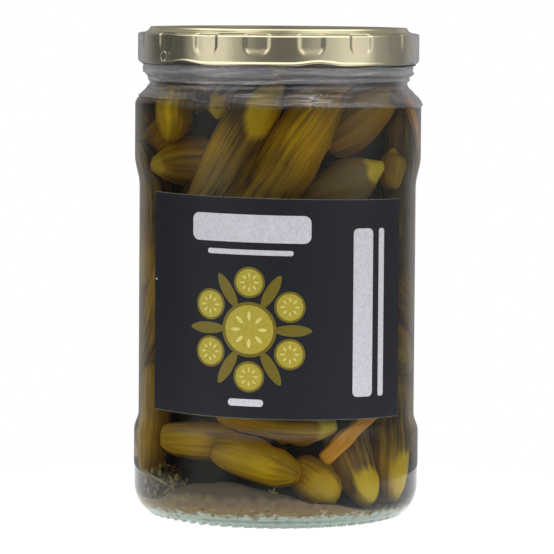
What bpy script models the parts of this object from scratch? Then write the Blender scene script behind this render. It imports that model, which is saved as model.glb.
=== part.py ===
"""Glass jar of pickled gherkins with a twist-off lid, a clear shrink band and a paper label.

Units are metres and +Z is up. The jar stands on its foot ring with its axis on Z, and its front faces -Y.
An azimuth is an angle about Z in degrees from the front, positive towards +X.
"""

import math
import random

import bmesh
import bpy
import numpy as np
from mathutils import Matrix, Vector

MM = 0.001
SHARP_ROUND = 35.0
SHARP_HEAP = 50.0

# Glass jar, outside
BODY_R = 45.0 * MM
SHOULDER_BAND_R = 45.1 * MM
PANEL_R = 43.6 * MM
NECK_R = 40.2 * MM
BEAD_R = 41.6 * MM
FINISH_R = 39.3 * MM
FOOT_R = 37.0 * MM
FOOT_INNER_R = 33.2 * MM
HEEL_TOP_Z = 10.5 * MM
PANEL_LOW_Z = (26.8 * MM, 32.5 * MM)
PANEL_HIGH_Z = (104.2 * MM, 113.7 * MM)
SHOULDER_Z = (130.0 * MM, 136.8 * MM)
BEAD_Z = (138.8 * MM, 142.4 * MM)
LIP_Z = 152.5 * MM

# Glass jar, inside
WALL = 2.6 * MM
MOUTH_R = 37.0 * MM
FLOOR_EDGE_Z = 4.2 * MM
FLOOR_MIDDLE_Z = 5.8 * MM
FLOOR_EDGE_R = 36.1 * MM
PUSH_UP_Z = 3.0 * MM
GLASS_SEGMENTS = 44

# Twist-off lid
LID_SHEET = 0.45 * MM
LID_R = 43.0 * MM
LID_INNER_R = 42.2 * MM
LID_CURL_R = 43.2 * MM
LID_TOP_Z = 154.1 * MM
LID_PANEL_Z = 153.3 * MM
LID_SHOULDER_Z = 152.0 * MM
LID_CURL_Z = 142.7 * MM
LID_RING_R = 40.4 * MM
BUTTON_R = 13.0 * MM
BUTTON_RISE = 0.5 * MM
LID_SEGMENTS = 80
FLUTES = 16
FLUTE_DEPTH = 0.45 * MM
FLUTE_PHASE = -8.9
FLUTE_HALF_WIDTH = 3.4
FLUTE_FADE = 0.6
LUGS = 6
LUG_PHASE = 17.0
LUG_HALF_WIDTH = 12.0
LUG_RISE = 0.8 * MM

# Clear shrink band round the lid, the neck and the shoulder
BAND_FILM = 0.2 * MM
BAND_GAP = 0.35 * MM
BAND_SEGMENTS = 36
BAND_TOP_Z = 152.2 * MM
BAND_LOW_Z = 130.9 * MM
BAND_SLANT = 1.5 * MM
BAND_CREASE = 0.8 * MM

# Paper label, wrapped round the front of the panel and a little crooked
LABEL_HALF_ARC = 60.0
LABEL_HEIGHT = 67.8 * MM
LABEL_MIDDLE_Z = 68.6 * MM
LABEL_SLANT = 0.9 * MM
LABEL_GAP = 0.35 * MM
LABEL_PAPER = 0.2 * MM

# Heap of gherkins
CONTENTS_GAP = 0.6 * MM
CORE_R = 31.5 * MM
CORE_Z = (7.5 * MM, 138.0 * MM)
HEAP_TOP_Z = 143.5 * MM
NODES_PER_GHERKIN = 6
GHERKIN_SIDES = 8
GHERKIN_RINGS = 7
SETTLING_ROUNDS = 500
SOFTNESS = 0.9
PUSH = 0.4
PULL = 0.12
END_SHARE = 0.125
FRONT_GIVE = 0.03
SEED = 3

# Each gherkin at the front: azimuth, height and distance from the axis at its two ends, and its greatest
# radius, in degrees and millimetres
FRONT_GHERKINS = {
    "upright_upper_left": ((-58, 120, 36), (-63, 143, 31), 5.8),
    "bud_upper_left": ((-34, 126.5, 30), (-44, 143, 20), 4.8),
    "pointing_left": ((-75, 112, 36), (-8, 113, 15), 7.6),
    "leaning_left": ((-50, 86, 33), (-1, 143, 28), 8.0),
    "leaning_right": ((-29, 78, 33), (44, 143, 27), 8.3),
    "behind_upper_right": ((26, 117.5, 23), (80, 137, 30), 7.6),
    "pale_tip_right": ((58, 111.5, 36), (-2, 98, 19), 7.8),
    "upright_right": ((86, 128, 34), (84, 76, 32), 8.2),
    "end_by_pale_tip": ((67, 117, 34.5), (63, 104.5, 35.5), 4.2),
    "low_far_left": ((-84, 48, 33), (-80, 12, 34), 6.6),
    "low_left": ((-66, 25.6, 35), (-12, 26, 22), 6.1),
    "low_middle": ((-33, 24.2, 33), (13, 16.6, 34), 6.1),
    "low_whitish_tip": ((30, 29, 36), (-34, 36, 28), 6.2),
    "low_tan": ((9, 20, 27), (30, 8.5, 35), 6.6),
    "low_upright": ((40, 34, 26), (47, 4.6, 35), 6.6),
    "low_right": ((72, 44, 33), (68, 6.5, 34), 7.4),
}

# The rest lie against the wall round the sides and the back, and a few stand behind the label
SIDE_COUNT = 21
SIDE_AZIMUTHS = (90, 278)
SIDE_HEIGHTS = (18, 130)
SIDE_DISTANCE = 32.5
SIDE_LEAN = 48
HIDDEN_COUNT = 4
HIDDEN_AZIMUTHS = (-50, 54)
HIDDEN_HEIGHTS = (58, 74)
HIDDEN_DISTANCE = 25
HIDDEN_LEAN = 20
LENGTHS = (44, 58)
RADII = (6.6, 8.5)
GOLDEN = (math.sqrt(5) - 1) / 2

# Carrot sticks: both ends as above, and the width
CARROTS = {
    "carrot_stick_low": ((51, 37.4, 38.8), (21, 21.4, 38.8), 4.8),
    "carrot_stick_high": ((75, 130, 38.2), (88, 117, 39.2), 3.8),
}
CARROT_FLATNESS = 0.7
CARROT_TAPER = 0.15
CARROT_GUARD = 0.85
CARROT_BEVEL = 0.08

# Dill against the wall at the lower left
DILL_MIDDLE = (-59, 13.0, 37.4)
DILL_SIZE = (9.0 * MM, 3.2 * MM, 6.5 * MM)
DILL_CORE = (0.8, 0.7, 0.8)
DILL_ROOT = 0.2
DILL_THREADS = 14
DILL_THREAD_R = 0.7 * MM
DILL_SEED = 8


def clear_scene():
    for item in list(bpy.data.objects):
        bpy.data.objects.remove(item, do_unlink=True)


def material(name, colour, roughness, metallic=0.0, transmission=0.0):
    made = bpy.data.materials.new(name)
    made.use_nodes = True
    shader = made.node_tree.nodes["Principled BSDF"]
    shader.inputs["Base Color"].default_value = (*colour, 1.0)
    shader.inputs["Roughness"].default_value = roughness
    shader.inputs["Metallic"].default_value = metallic
    shader.inputs["Transmission Weight"].default_value = transmission
    return made


def put(name, mesh, finish):
    made = bpy.data.objects.new(name, mesh)
    mesh.materials.append(finish)
    bpy.context.scene.collection.objects.link(made)
    return made


def smooth(t):
    """Goes from 0 to 1 with level ends."""
    t = np.clip(t, 0.0, 1.0)
    return t * t * (3.0 - 2.0 * t)


def place(azimuth, height, distance):
    """World point of an azimuth in degrees, a height and a distance from the axis."""
    turn = math.radians(azimuth)
    return np.array([distance * math.sin(turn), -distance * math.cos(turn), height])


def azimuth_of(point):
    return math.degrees(math.atan2(point.x, -point.y))


def off_centre(azimuth, phase, count):
    """Signed angle from an azimuth to the nearest of count evenly spaced marks, in degrees."""
    pitch = 360.0 / count
    return (azimuth - phase + pitch / 2) % pitch - pitch / 2


def bend(start, end, steps):
    """Outline points of an S-shaped change from one (radius, height) to another."""
    share = np.linspace(0.0, 1.0, steps + 1)
    return [(start[0] + (end[0] - start[0]) * smooth(t), start[1] + (end[1] - start[1]) * t) for t in share]


def arc(centre, radii, first, last, steps):
    """Outline points of an elliptical arc, with angles in degrees from the outward radius."""
    angles = np.radians(np.linspace(first, last, steps + 1))
    return [(centre[0] + radii[0] * math.cos(a), centre[1] + radii[1] * math.sin(a)) for a in angles]


def turned(name, outline, segments):
    """Mesh of an outline of (radius, height) points spun about Z."""
    shape = bmesh.new()
    verts = [shape.verts.new((radius, 0.0, height)) for radius, height in outline]
    edges = [shape.edges.new(pair) for pair in zip(verts, verts[1:])]
    bmesh.ops.spin(shape, geom=verts + edges, cent=(0, 0, 0), axis=(0, 0, 1), angle=math.tau, steps=segments)
    bmesh.ops.remove_doubles(shape, verts=shape.verts, dist=1e-6)
    bmesh.ops.recalc_face_normals(shape, faces=shape.faces)
    mesh = bpy.data.meshes.new(name)
    shape.to_mesh(mesh)
    shape.free()
    return mesh


def finish_round(mesh, sharp=SHARP_ROUND):
    mesh.shade_smooth()
    mesh.set_sharp_from_angle(angle=math.radians(sharp))


def outer_side():
    """Outside of the jar from the foot to the lip."""
    rise = HEEL_TOP_Z
    heel = arc((FOOT_R, rise), (BODY_R - FOOT_R, rise), -90, 0, 6)
    low_step = bend((BODY_R, PANEL_LOW_Z[0]), (PANEL_R, PANEL_LOW_Z[1]), 3)
    high_step = bend((PANEL_R, PANEL_HIGH_Z[0]), (SHOULDER_BAND_R, PANEL_HIGH_Z[1]), 3)
    shoulder = bend((SHOULDER_BAND_R, SHOULDER_Z[0]), (NECK_R, SHOULDER_Z[1]), 5)
    bead_middle = sum(BEAD_Z) / 2
    bead = arc((NECK_R, bead_middle), (BEAD_R - NECK_R, bead_middle - BEAD_Z[0]), -90, 70, 3)
    finish = [(FINISH_R, BEAD_Z[1] + MM), (FINISH_R, LIP_Z - MM), (FINISH_R - MM, LIP_Z)]
    return heel + low_step + high_step + shoulder + bead + finish


def inner_side():
    """Inside of the jar from the mouth to the middle of the floor."""
    mouth = [(MOUTH_R, LIP_Z), (MOUTH_R, SHOULDER_Z[1] + MM)]
    shoulder = bend((MOUTH_R, SHOULDER_Z[1]), (SHOULDER_BAND_R - WALL, SHOULDER_Z[0] - MM), 3)
    high_step = bend((SHOULDER_BAND_R - WALL, PANEL_HIGH_Z[1]), (PANEL_R - WALL, PANEL_HIGH_Z[0]), 2)
    low_step = bend((PANEL_R - WALL, PANEL_LOW_Z[1]), (BODY_R - WALL, PANEL_LOW_Z[0]), 2)
    corner = HEEL_TOP_Z - FLOOR_EDGE_Z
    heel = arc((BODY_R - WALL - corner, HEEL_TOP_Z), (corner, corner), 0, -90, 4)
    return mouth + shoulder + high_step + low_step + heel + [(0.0, FLOOR_MIDDLE_Z)]


def wall_at(height):
    """Inside radius of the jar at each height."""
    outline = np.array(inner_side()[:-1])[::-1]
    return np.interp(height, outline[:, 1], outline[:, 0])


def outside_at(height):
    """Outside radius of the jar at a height below the bead."""
    outline = np.array([point for point in outer_side() if point[1] < BEAD_Z[0]])
    return float(np.interp(height, outline[:, 1], outline[:, 0]))


def make_glass():
    under = [(0.0, PUSH_UP_Z), (FOOT_INNER_R - 3 * MM, 1.4 * MM), (FOOT_INNER_R, 0.0)]
    mesh = turned("glass_jar", under + outer_side() + inner_side(), GLASS_SEGMENTS)
    finish_round(mesh)
    return put("glass_jar", mesh, material("soda lime glass", (0.86, 0.93, 0.90), 0.03, transmission=1.0))


def lid_outline():
    """The lid from the middle of its top, over the skirt and the rolled curl, to the middle of its inside."""
    ring_inside = LID_RING_R - 2.6 * MM
    ceiling = LID_PANEL_Z - LID_SHEET
    return [
        (0.0, LID_PANEL_Z + BUTTON_RISE),
        (BUTTON_R * 0.6, LID_PANEL_Z + BUTTON_RISE * 0.75),
        (BUTTON_R, LID_PANEL_Z),
        (ring_inside - 1.4 * MM, LID_PANEL_Z),
        (ring_inside, LID_TOP_Z),
        (LID_RING_R, LID_TOP_Z),
        (LID_R - 0.5 * MM, LID_SHOULDER_Z + 0.3 * MM),
        (LID_R, LID_SHOULDER_Z - 0.6 * MM),
        (LID_R, LID_SHOULDER_Z - 3.8 * MM),
        (LID_R, LID_SHOULDER_Z - 5.8 * MM),
        (LID_R, LID_CURL_Z + 1.6 * MM),
        (LID_CURL_R, LID_CURL_Z + 0.7 * MM),
        (LID_CURL_R - 0.4 * MM, LID_CURL_Z),
        (LID_INNER_R - 0.2 * MM, LID_CURL_Z + 0.3 * MM),
        (LID_INNER_R, LID_CURL_Z + 1.6 * MM),
        (LID_INNER_R, LID_SHOULDER_Z - 0.6 * MM),
        (LID_INNER_R - MM, ceiling),
        (0.0, ceiling),
    ]


def press_lid(vert):
    """Pushes in the flutes of the skirt, and lifts its lower edge at the lugs."""
    radius = math.hypot(vert.co.x, vert.co.y)
    azimuth = azimuth_of(vert.co)
    in_flute = abs(off_centre(azimuth, FLUTE_PHASE, FLUTES)) < FLUTE_HALF_WIDTH
    on_skirt = radius > LID_R - 0.1 * MM
    depth = 0.0
    if in_flute and on_skirt and vert.co.z > LID_SHOULDER_Z - 4 * MM:
        depth = FLUTE_DEPTH if vert.co.z > LID_SHOULDER_Z - MM else FLUTE_FADE * FLUTE_DEPTH
    vert.co.xy *= (radius - depth) / max(radius, MM)
    if vert.co.z < LID_CURL_Z + 2 * MM:
        share = 1.0 - abs(off_centre(azimuth, LUG_PHASE, LUGS)) / LUG_HALF_WIDTH
        vert.co.z += LUG_RISE * float(smooth(share))


def make_lid():
    mesh = turned("lid", lid_outline(), LID_SEGMENTS)
    turn = FLUTE_PHASE + 180.0 / LID_SEGMENTS
    shape = bmesh.new()
    shape.from_mesh(mesh)
    bmesh.ops.rotate(shape, verts=shape.verts, cent=(0, 0, 0), matrix=Matrix.Rotation(math.radians(turn), 3, "Z"))
    for vert in shape.verts:
        press_lid(vert)
    shape.to_mesh(mesh)
    shape.free()
    finish_round(mesh)
    return put("lid", mesh, material("lacquered tinplate", (0.62, 0.57, 0.38), 0.25, metallic=1.0))


def band_outline():
    """Inner face of the shrink band from its lower edge to its top."""
    neck = NECK_R + BAND_GAP + 0.1 * MM
    bead = BEAD_R + BAND_GAP + 0.1 * MM
    skirt = LID_CURL_R + BAND_GAP + 0.2 * MM
    shoulder = [(neck, height) for height in np.linspace(BAND_LOW_Z, SHOULDER_Z[1], 5)]
    return shoulder + [
        (neck, BEAD_Z[0] - 0.3 * MM),
        (bead, BEAD_Z[0] + 0.9 * MM),
        (bead, BEAD_Z[1] - 0.9 * MM),
        (skirt, LID_CURL_Z + 0.4 * MM),
        (skirt, BAND_TOP_Z),
    ]


def fit_band(vert):
    """Lays the band on the slope of the shoulder, down to a slanting edge, and draws out its two side creases."""
    side = math.sin(math.radians(azimuth_of(vert.co)))
    radius = math.hypot(vert.co.x, vert.co.y)
    wide = radius + BAND_CREASE * abs(side) ** 8 * float(smooth((vert.co.z - BEAD_Z[1]) / (1.5 * MM)))
    if vert.co.z < SHOULDER_Z[1]:
        share = (SHOULDER_Z[1] - vert.co.z) / (SHOULDER_Z[1] - BAND_LOW_Z)
        vert.co.z -= BAND_SLANT * side * share
        wide = outside_at(vert.co.z) + BAND_GAP + 0.2 * MM
    vert.co.x *= wide / radius
    vert.co.y *= wide / radius


def make_band():
    mesh = turned("shrink_band", band_outline(), BAND_SEGMENTS)
    for vert in mesh.vertices:
        fit_band(vert)
    finish_round(mesh)
    band = put("shrink_band", mesh, material("clear shrink film", (0.9, 0.9, 0.88), 0.1, transmission=1.0))
    film = band.modifiers.new("film", "SOLIDIFY")
    film.thickness = BAND_FILM
    film.offset = 1.0
    return band


def make_label():
    shape = bmesh.new()
    bmesh.ops.create_grid(shape, x_segments=24, y_segments=2, size=1.0)
    for vert in shape.verts:
        across, up = vert.co.x, vert.co.y
        height = LABEL_MIDDLE_Z + up * LABEL_HEIGHT / 2 - across * LABEL_SLANT
        vert.co = place(across * LABEL_HALF_ARC, height, PANEL_R + LABEL_GAP)
    mesh = bpy.data.meshes.new("label")
    shape.to_mesh(mesh)
    shape.free()
    finish_round(mesh)
    label = put("label", mesh, material("coated paper", (0.022, 0.023, 0.028), 0.45))
    paper = label.modifiers.new("paper", "SOLIDIFY")
    paper.thickness = LABEL_PAPER
    paper.offset = 1.0
    return label


def girth(share):
    """A gherkin's radius along its length, as a share of its greatest radius: full, with rounded ends."""
    return np.clip(4.0 * share * (1.0 - share), 0.0, 1.0) ** 0.33


def chain(start, end):
    """Points along a gherkin's axis, halfway between the straight line and the arc that follows the wall."""
    share = gherkin_shares()[:, None]
    first = place(start[0], start[1] * MM, start[2] * MM)
    last = place(end[0], end[1] * MM, end[2] * MM)
    straight = first + (last - first) * share
    turns = start[0] + (end[0] - start[0]) * share[:, 0]
    distances = (start[2] + (end[2] - start[2]) * share[:, 0]) * MM
    round_wall = np.array([place(a, 0.0, d) for a, d in zip(turns, distances)])
    round_wall[:, 2] = straight[:, 2]
    return (straight + round_wall) / 2


def gherkin_shares():
    return np.linspace(0.1, 0.9, NODES_PER_GHERKIN)


def strewn(count, azimuths, heights, distance, most_lean, rng):
    """Ends and radius of gherkins spread evenly over a stretch of the wall, leaning this way and that."""
    for number in range(count):
        azimuth = azimuths[0] + (azimuths[1] - azimuths[0]) * ((number * GOLDEN + 0.25) % 1.0)
        height = heights[0] + (heights[1] - heights[0]) * (number + 0.5) / count
        lean = math.radians(most_lean * rng.uniform(-1, 1))
        half = rng.uniform(*LENGTHS) / 2
        swing = math.degrees(half * math.sin(lean) / distance)
        rise = half * math.cos(lean)
        low = (azimuth - swing, height - rise, distance + rng.uniform(-2, 1))
        high = (azimuth + swing, height + rise, distance + rng.uniform(-2, 1))
        yield low, high, rng.uniform(*RADII)


def settle(points, radii, give):
    """Moves the chains apart, by how much each gives way, until nothing overlaps and all are inside the glass."""
    count, nodes, _ = points.shape
    rest = np.linalg.norm(points[:, :, None] - points[:, None], axis=3)
    owner = np.repeat(np.arange(count), nodes)
    radius = radii.reshape(-1)
    yields = np.repeat(give, nodes)
    moves = (yields > 0).astype(float)
    reach = (radius[:, None] + radius[None]) * SOFTNESS
    others = owner[:, None] != owner[None]
    weight = yields[:, None] / np.maximum(yields[:, None] + yields[None], 1e-9)
    lengths = rest[:, 0, -1, None]
    for _ in range(SETTLING_ROUNDS):
        flat = points.reshape(-1, 3)
        apart = flat[:, None] - flat[None]
        distance = np.linalg.norm(apart, axis=2) + 1e-9
        overlap = np.where(others, np.maximum(reach - distance, 0.0), 0.0)
        flat = flat + PUSH * (apart * (weight * overlap / distance)[:, :, None]).sum(axis=1)
        steep = np.minimum(np.abs(points[:, -1:, 2] - points[:, :1, 2]) / lengths, 1.0)
        down = (radii * np.sqrt(1.0 - steep ** 2) + lengths * steep * END_SHARE).reshape(-1)
        edge = np.minimum(np.hypot(flat[:, 0], flat[:, 1]) / FLOOR_EDGE_R, 1.0)
        low = FLOOR_MIDDLE_Z + (FLOOR_EDGE_Z - FLOOR_MIDDLE_Z) * edge + down + CONTENTS_GAP
        height = np.clip(flat[:, 2], low, HEAP_TOP_Z - radius)
        flat[:, 2] += moves * (height - flat[:, 2])
        room = np.minimum(wall_at(flat[:, 2] + radius * 0.5), wall_at(flat[:, 2] - radius * 0.5))
        out = np.hypot(flat[:, 0], flat[:, 1])
        inward = moves * np.maximum(out + radius + CONTENTS_GAP - room, 0.0) / np.maximum(out, MM)
        flat[:, :2] *= (1.0 - inward)[:, None]
        points = flat.reshape(count, nodes, 3)
        apart = points[:, :, None] - points[:, None]
        distance = np.linalg.norm(apart, axis=3) + 1e-9
        pull = apart * ((rest - distance) / distance * PULL)[:, :, :, None]
        points = points + pull.sum(axis=2) * (give > 0)[:, None, None]
    return points


def packed_gherkins():
    """Axis points and greatest radius of every gherkin, with the carrots and the dill kept clear."""
    rng = random.Random(SEED)
    ends = list(FRONT_GHERKINS.values())
    held = len(ends)
    ends.extend(strewn(SIDE_COUNT, SIDE_AZIMUTHS, SIDE_HEIGHTS, SIDE_DISTANCE, SIDE_LEAN, rng))
    ends.extend(strewn(HIDDEN_COUNT, HIDDEN_AZIMUTHS, HIDDEN_HEIGHTS, HIDDEN_DISTANCE, HIDDEN_LEAN, rng))
    total = len(ends)
    guards = [(start, end, width * CARROT_GUARD) for start, end, width in CARROTS.values()]
    azimuth, height, distance = DILL_MIDDLE
    reach = math.degrees(DILL_SIZE[0] / (distance * MM))
    guards.append(((azimuth - reach, height, distance), (azimuth + reach, height, distance), DILL_SIZE[2] / MM))
    everything = ends + guards
    points = np.array([chain(start, end) for start, end, _ in everything])
    greatest = np.array([radius for _, _, radius in everything]) * MM
    radii = greatest[:, None] * girth(gherkin_shares())[None]
    radii[total:] = greatest[total:, None]
    give = np.ones(len(everything))
    give[:held] = FRONT_GIVE
    give[total:] = 0.0
    settled = settle(points, radii, give)
    return list(zip(settled[:total], greatest[:total]))


def drawn_out(name, axis, radius, sides, rings):
    """Sphere drawn out along a smooth curve through the axis points, thick in the middle and round at the ends."""
    curve = np.polynomial.polynomial.polyfit(np.linspace(0.1, 0.9, len(axis)), axis, 3)
    slope = np.polynomial.polynomial.polyder(curve)
    shape = bmesh.new()
    bmesh.ops.create_uvsphere(shape, u_segments=sides, v_segments=rings, radius=1.0)
    for vert in shape.verts:
        share = (1.0 + vert.co.z) / 2
        middle = np.polynomial.polynomial.polyval(share, curve)
        along = Vector(np.polynomial.polynomial.polyval(share, slope)).normalized()
        out = Vector((middle[0], middle[1], 0.0)).normalized()
        side = out.cross(along).normalized()
        out = along.cross(side)
        turn = math.atan2(vert.co.y, vert.co.x)
        thick = radius * float(girth(share))
        vert.co = Vector(middle) + side * (thick * math.cos(turn)) + out * (thick * math.sin(turn))
    mesh = bpy.data.meshes.new(name)
    shape.to_mesh(mesh)
    shape.free()
    return mesh


def fused(name, core, pieces, finish):
    """One body from a core and the pieces that reach into it, with sealed hollows filled and scraps dropped."""
    body = put(name, core, finish)
    group = bpy.data.collections.new(name + " pieces")
    bpy.context.scene.collection.children.link(group)
    for mesh in pieces:
        group.objects.link(bpy.data.objects.new(mesh.name, mesh))
    union = body.modifiers.new("union", "BOOLEAN")
    union.operation = "UNION"
    union.operand_type = "COLLECTION"
    union.collection = group
    union.solver = "EXACT"
    bpy.context.view_layer.update()
    joined = bpy.data.meshes.new_from_object(body.evaluated_get(bpy.context.evaluated_depsgraph_get()))
    body.modifiers.remove(union)
    body.data = joined
    for item in list(group.objects):
        bpy.data.objects.remove(item, do_unlink=True)
    bpy.data.collections.remove(group)
    keep_largest_shell(joined)
    finish_round(joined, SHARP_HEAP)
    return body


def keep_largest_shell(mesh):
    shape = bmesh.new()
    shape.from_mesh(mesh)
    unseen = set(shape.faces)
    shells = []
    while unseen:
        shell = set()
        edge = [unseen.pop()]
        while edge:
            face = edge.pop()
            shell.add(face)
            near = {other for side in face.edges for other in side.link_faces} & unseen
            unseen -= near
            edge.extend(near)
        shells.append(shell)
    largest = max(shells, key=len)
    bmesh.ops.delete(shape, geom=[face for face in shape.faces if face not in largest], context="FACES")
    shape.to_mesh(mesh)
    shape.free()


def core_mesh():
    """Column that stands for the gherkins hidden in the middle."""
    shape = bmesh.new()
    bmesh.ops.create_uvsphere(shape, u_segments=16, v_segments=10, radius=1.0)
    low, high = CORE_Z
    for vert in shape.verts:
        out = math.hypot(vert.co.x, vert.co.y)
        wide = CORE_R * out ** 0.3 / max(out, 1e-9)
        vert.co = (vert.co.x * wide, vert.co.y * wide, low + (high - low) * (1.0 + vert.co.z) / 2)
    mesh = bpy.data.meshes.new("core")
    shape.to_mesh(mesh)
    shape.free()
    return mesh


def make_gherkins():
    pieces = [
        drawn_out(f"gherkin_{number}", axis, radius, GHERKIN_SIDES, GHERKIN_RINGS)
        for number, (axis, radius) in enumerate(packed_gherkins())
    ]
    return fused("gherkins", core_mesh(), pieces, material("pickled gherkin", (0.20, 0.13, 0.02), 0.35))


def make_carrots():
    finish = material("pickled carrot", (0.48, 0.17, 0.02), 0.4)
    for name, (start, end, width) in CARROTS.items():
        first = Vector(place(start[0], start[1] * MM, start[2] * MM))
        last = Vector(place(end[0], end[1] * MM, end[2] * MM))
        shape = bmesh.new()
        bmesh.ops.create_cube(shape, size=1.0)
        bmesh.ops.bevel(shape, geom=shape.edges, offset=CARROT_BEVEL, segments=1, affect="EDGES")
        along = (last - first).normalized()
        out = Vector((*(first + last).xy, 0.0)).normalized()
        side = out.cross(along).normalized()
        out = along.cross(side)
        size = width * MM
        for vert in shape.verts:
            across, deep, far = vert.co
            taper = 1.0 - CARROT_TAPER * far
            middle = first.lerp(last, 0.5 + far)
            vert.co = middle + (side * across + out * (deep * CARROT_FLATNESS)) * size * taper
        mesh = bpy.data.meshes.new(name)
        shape.to_mesh(mesh)
        shape.free()
        put(name, mesh, finish)


def make_dill():
    """Tangle of dill threads pressed against the wall: a flat core with the threads fused on."""
    rng = random.Random(DILL_SEED)
    azimuth, height, distance = DILL_MIDDLE
    middle = place(azimuth, height * MM, distance * MM)
    out = Vector(place(azimuth, 0.0, 1.0))
    side = Vector((0, 0, 1)).cross(out)
    shape = bmesh.new()
    bmesh.ops.create_uvsphere(shape, u_segments=12, v_segments=8, radius=1.0)
    for vert in shape.verts:
        across, deep, up = vert.co
        follow = DILL_SIZE[0] ** 2 * across ** 2 / (2 * distance * MM)
        spread, depth, rise = (size * part for size, part in zip(DILL_SIZE, DILL_CORE))
        spot = side * (across * spread) + out * (deep * depth - follow)
        vert.co = Vector(middle) + spot + Vector((0, 0, up * rise))
    core = bpy.data.meshes.new("dill core")
    shape.to_mesh(core)
    shape.free()
    threads = []
    for number in range(DILL_THREADS):
        turn = math.tau * (number + rng.uniform(-0.3, 0.3)) / DILL_THREADS
        tip = azimuth + math.degrees(DILL_SIZE[0] / (distance * MM)) * math.cos(turn) * rng.uniform(0.85, 1.1)
        rise = height + DILL_SIZE[2] / MM * math.sin(turn) * rng.uniform(0.85, 1.05)
        start = (azimuth + (tip - azimuth) * DILL_ROOT, height + (rise - height) * DILL_ROOT, distance)
        axis = chain(start, (tip, rise, distance + rng.uniform(-1.5, 1.0)))
        threads.append(drawn_out(f"thread_{number}", axis, DILL_THREAD_R, 4, 6))
    return fused("dill", core, threads, material("pickled dill", (0.16, 0.13, 0.05), 0.6))


def main():
    clear_scene()
    make_glass()
    make_lid()
    make_band()
    make_label()
    make_gherkins()
    make_carrots()
    make_dill()


main()
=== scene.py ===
"""Glass jar of pickled gherkins: the looks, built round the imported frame.

Units are metres and +Z is up. The jar stands on its foot ring with its axis on Z, and its front faces -Y.
An azimuth is an angle about Z in degrees from the front, positive towards +X.
"""

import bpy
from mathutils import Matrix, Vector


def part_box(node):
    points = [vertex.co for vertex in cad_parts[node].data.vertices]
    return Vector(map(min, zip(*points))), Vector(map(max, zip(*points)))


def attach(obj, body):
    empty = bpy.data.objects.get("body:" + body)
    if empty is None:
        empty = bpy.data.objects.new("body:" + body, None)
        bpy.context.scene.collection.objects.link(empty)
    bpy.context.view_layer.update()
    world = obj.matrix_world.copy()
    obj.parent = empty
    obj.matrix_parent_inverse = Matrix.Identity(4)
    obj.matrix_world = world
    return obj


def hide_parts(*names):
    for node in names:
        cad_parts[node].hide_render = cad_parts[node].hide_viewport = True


bl_info = {
    "name": "Pickle Jar",
    "version": (1, 0, 0),
    "blender": (4, 5, 0),
    "location": "3D View > Sidebar > Pickle Jar",
    "description": "Glass jar of pickled gherkins with a lacquered lid, a shrink film and a paper label",
    "category": "Add Mesh",
}

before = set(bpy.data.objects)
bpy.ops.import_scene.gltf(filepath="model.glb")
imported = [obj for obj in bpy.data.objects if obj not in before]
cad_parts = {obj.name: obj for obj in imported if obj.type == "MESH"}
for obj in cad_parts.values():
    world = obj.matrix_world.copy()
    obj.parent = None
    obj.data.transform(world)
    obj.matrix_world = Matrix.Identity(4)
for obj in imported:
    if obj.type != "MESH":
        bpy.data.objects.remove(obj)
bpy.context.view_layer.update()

import math
import random

import bpy
import numpy as np
from bpy.props import FloatProperty, FloatVectorProperty, IntProperty, PointerProperty

MM = 0.001
BODY = "root"

# Glass jar, outside
JAR_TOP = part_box("glass_jar")[1]
SHOULDER_BAND_R = JAR_TOP.x
LIP_Z = JAR_TOP.z
BODY_R = 45.0 * MM
PANEL_R = 43.6 * MM
NECK_R = 40.2 * MM
BEAD_R = 41.6 * MM
FINISH_R = 39.3 * MM
FOOT_R = 37.0 * MM
FOOT_INNER_R = 33.2 * MM
HEEL_TOP_Z = 10.5 * MM
PANEL_LOW_Z = (26.8 * MM, 32.5 * MM)
PANEL_HIGH_Z = (104.2 * MM, 113.7 * MM)
SHOULDER_Z = (130.0 * MM, 136.8 * MM)
BEAD_Z = (138.8 * MM, 142.4 * MM)

# Glass jar, inside
WALL = 2.6 * MM
MOUTH_R = 37.0 * MM
FLOOR_EDGE_Z = 4.2 * MM
FLOOR_MIDDLE_Z = 5.8 * MM
FLOOR_EDGE_R = 36.1 * MM
PUSH_UP_Z = 3.0 * MM
PUSH_UP_EDGE = (30.2 * MM, 1.4 * MM)
GLASS_COLUMNS = 480

# Twist-off lid
LID_SHEET = 0.45 * MM
LID_R = 43.0 * MM
LID_INNER_R = 42.2 * MM
LID_CURL_R = 43.2 * MM
LID_TOP_Z = 154.1 * MM
LID_PANEL_Z = 153.3 * MM
LID_SHOULDER_Z = 152.0 * MM
LID_CURL_Z = 142.7 * MM
LID_RING_R = (37.8 * MM, 40.4 * MM)
BUTTON_R = 13.0 * MM
BUTTON_RISE = 0.5 * MM
FLUTES = 16
FLUTE_PHASE = -8.9
FLUTE_HALF_WIDTH = (4.0, 6.0)
LUGS = 6
LUG_PHASE = 17.0
LUG_HALF_WIDTH = 12.0
LUG_RISE = 0.8 * MM
LID_COLUMNS = 800

# Shrink film
FILM_GAP = 0.3 * MM
FILM_LOW_Z = 130.9 * MM
FILM_SLANT = 1.5 * MM
FILM_CREASE = 0.8 * MM
FILM_COLUMNS = 420
FILM_CLEARNESS = 0.985
GATHERED_CLEARNESS = 0.88
GATHERED_LIFT = 1.0 * MM

# Vent hole in the film: azimuth, height and radius
VENT = (-54.6, 145.2 * MM, 1.6 * MM)

# Sharp creases at the film's right: azimuth in degrees and height in millimetres of three points each
FILM_CREASES = (
    ((37, 134.4), (40, 134.8), (44, 131.0)),
    ((43, 132.8), (46, 133.4), (47, 130.2)),
    ((52, 134.8), (57, 133.6), (58, 131.2)),
)
CREASE_THICKNESS = 0.13 * MM

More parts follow.
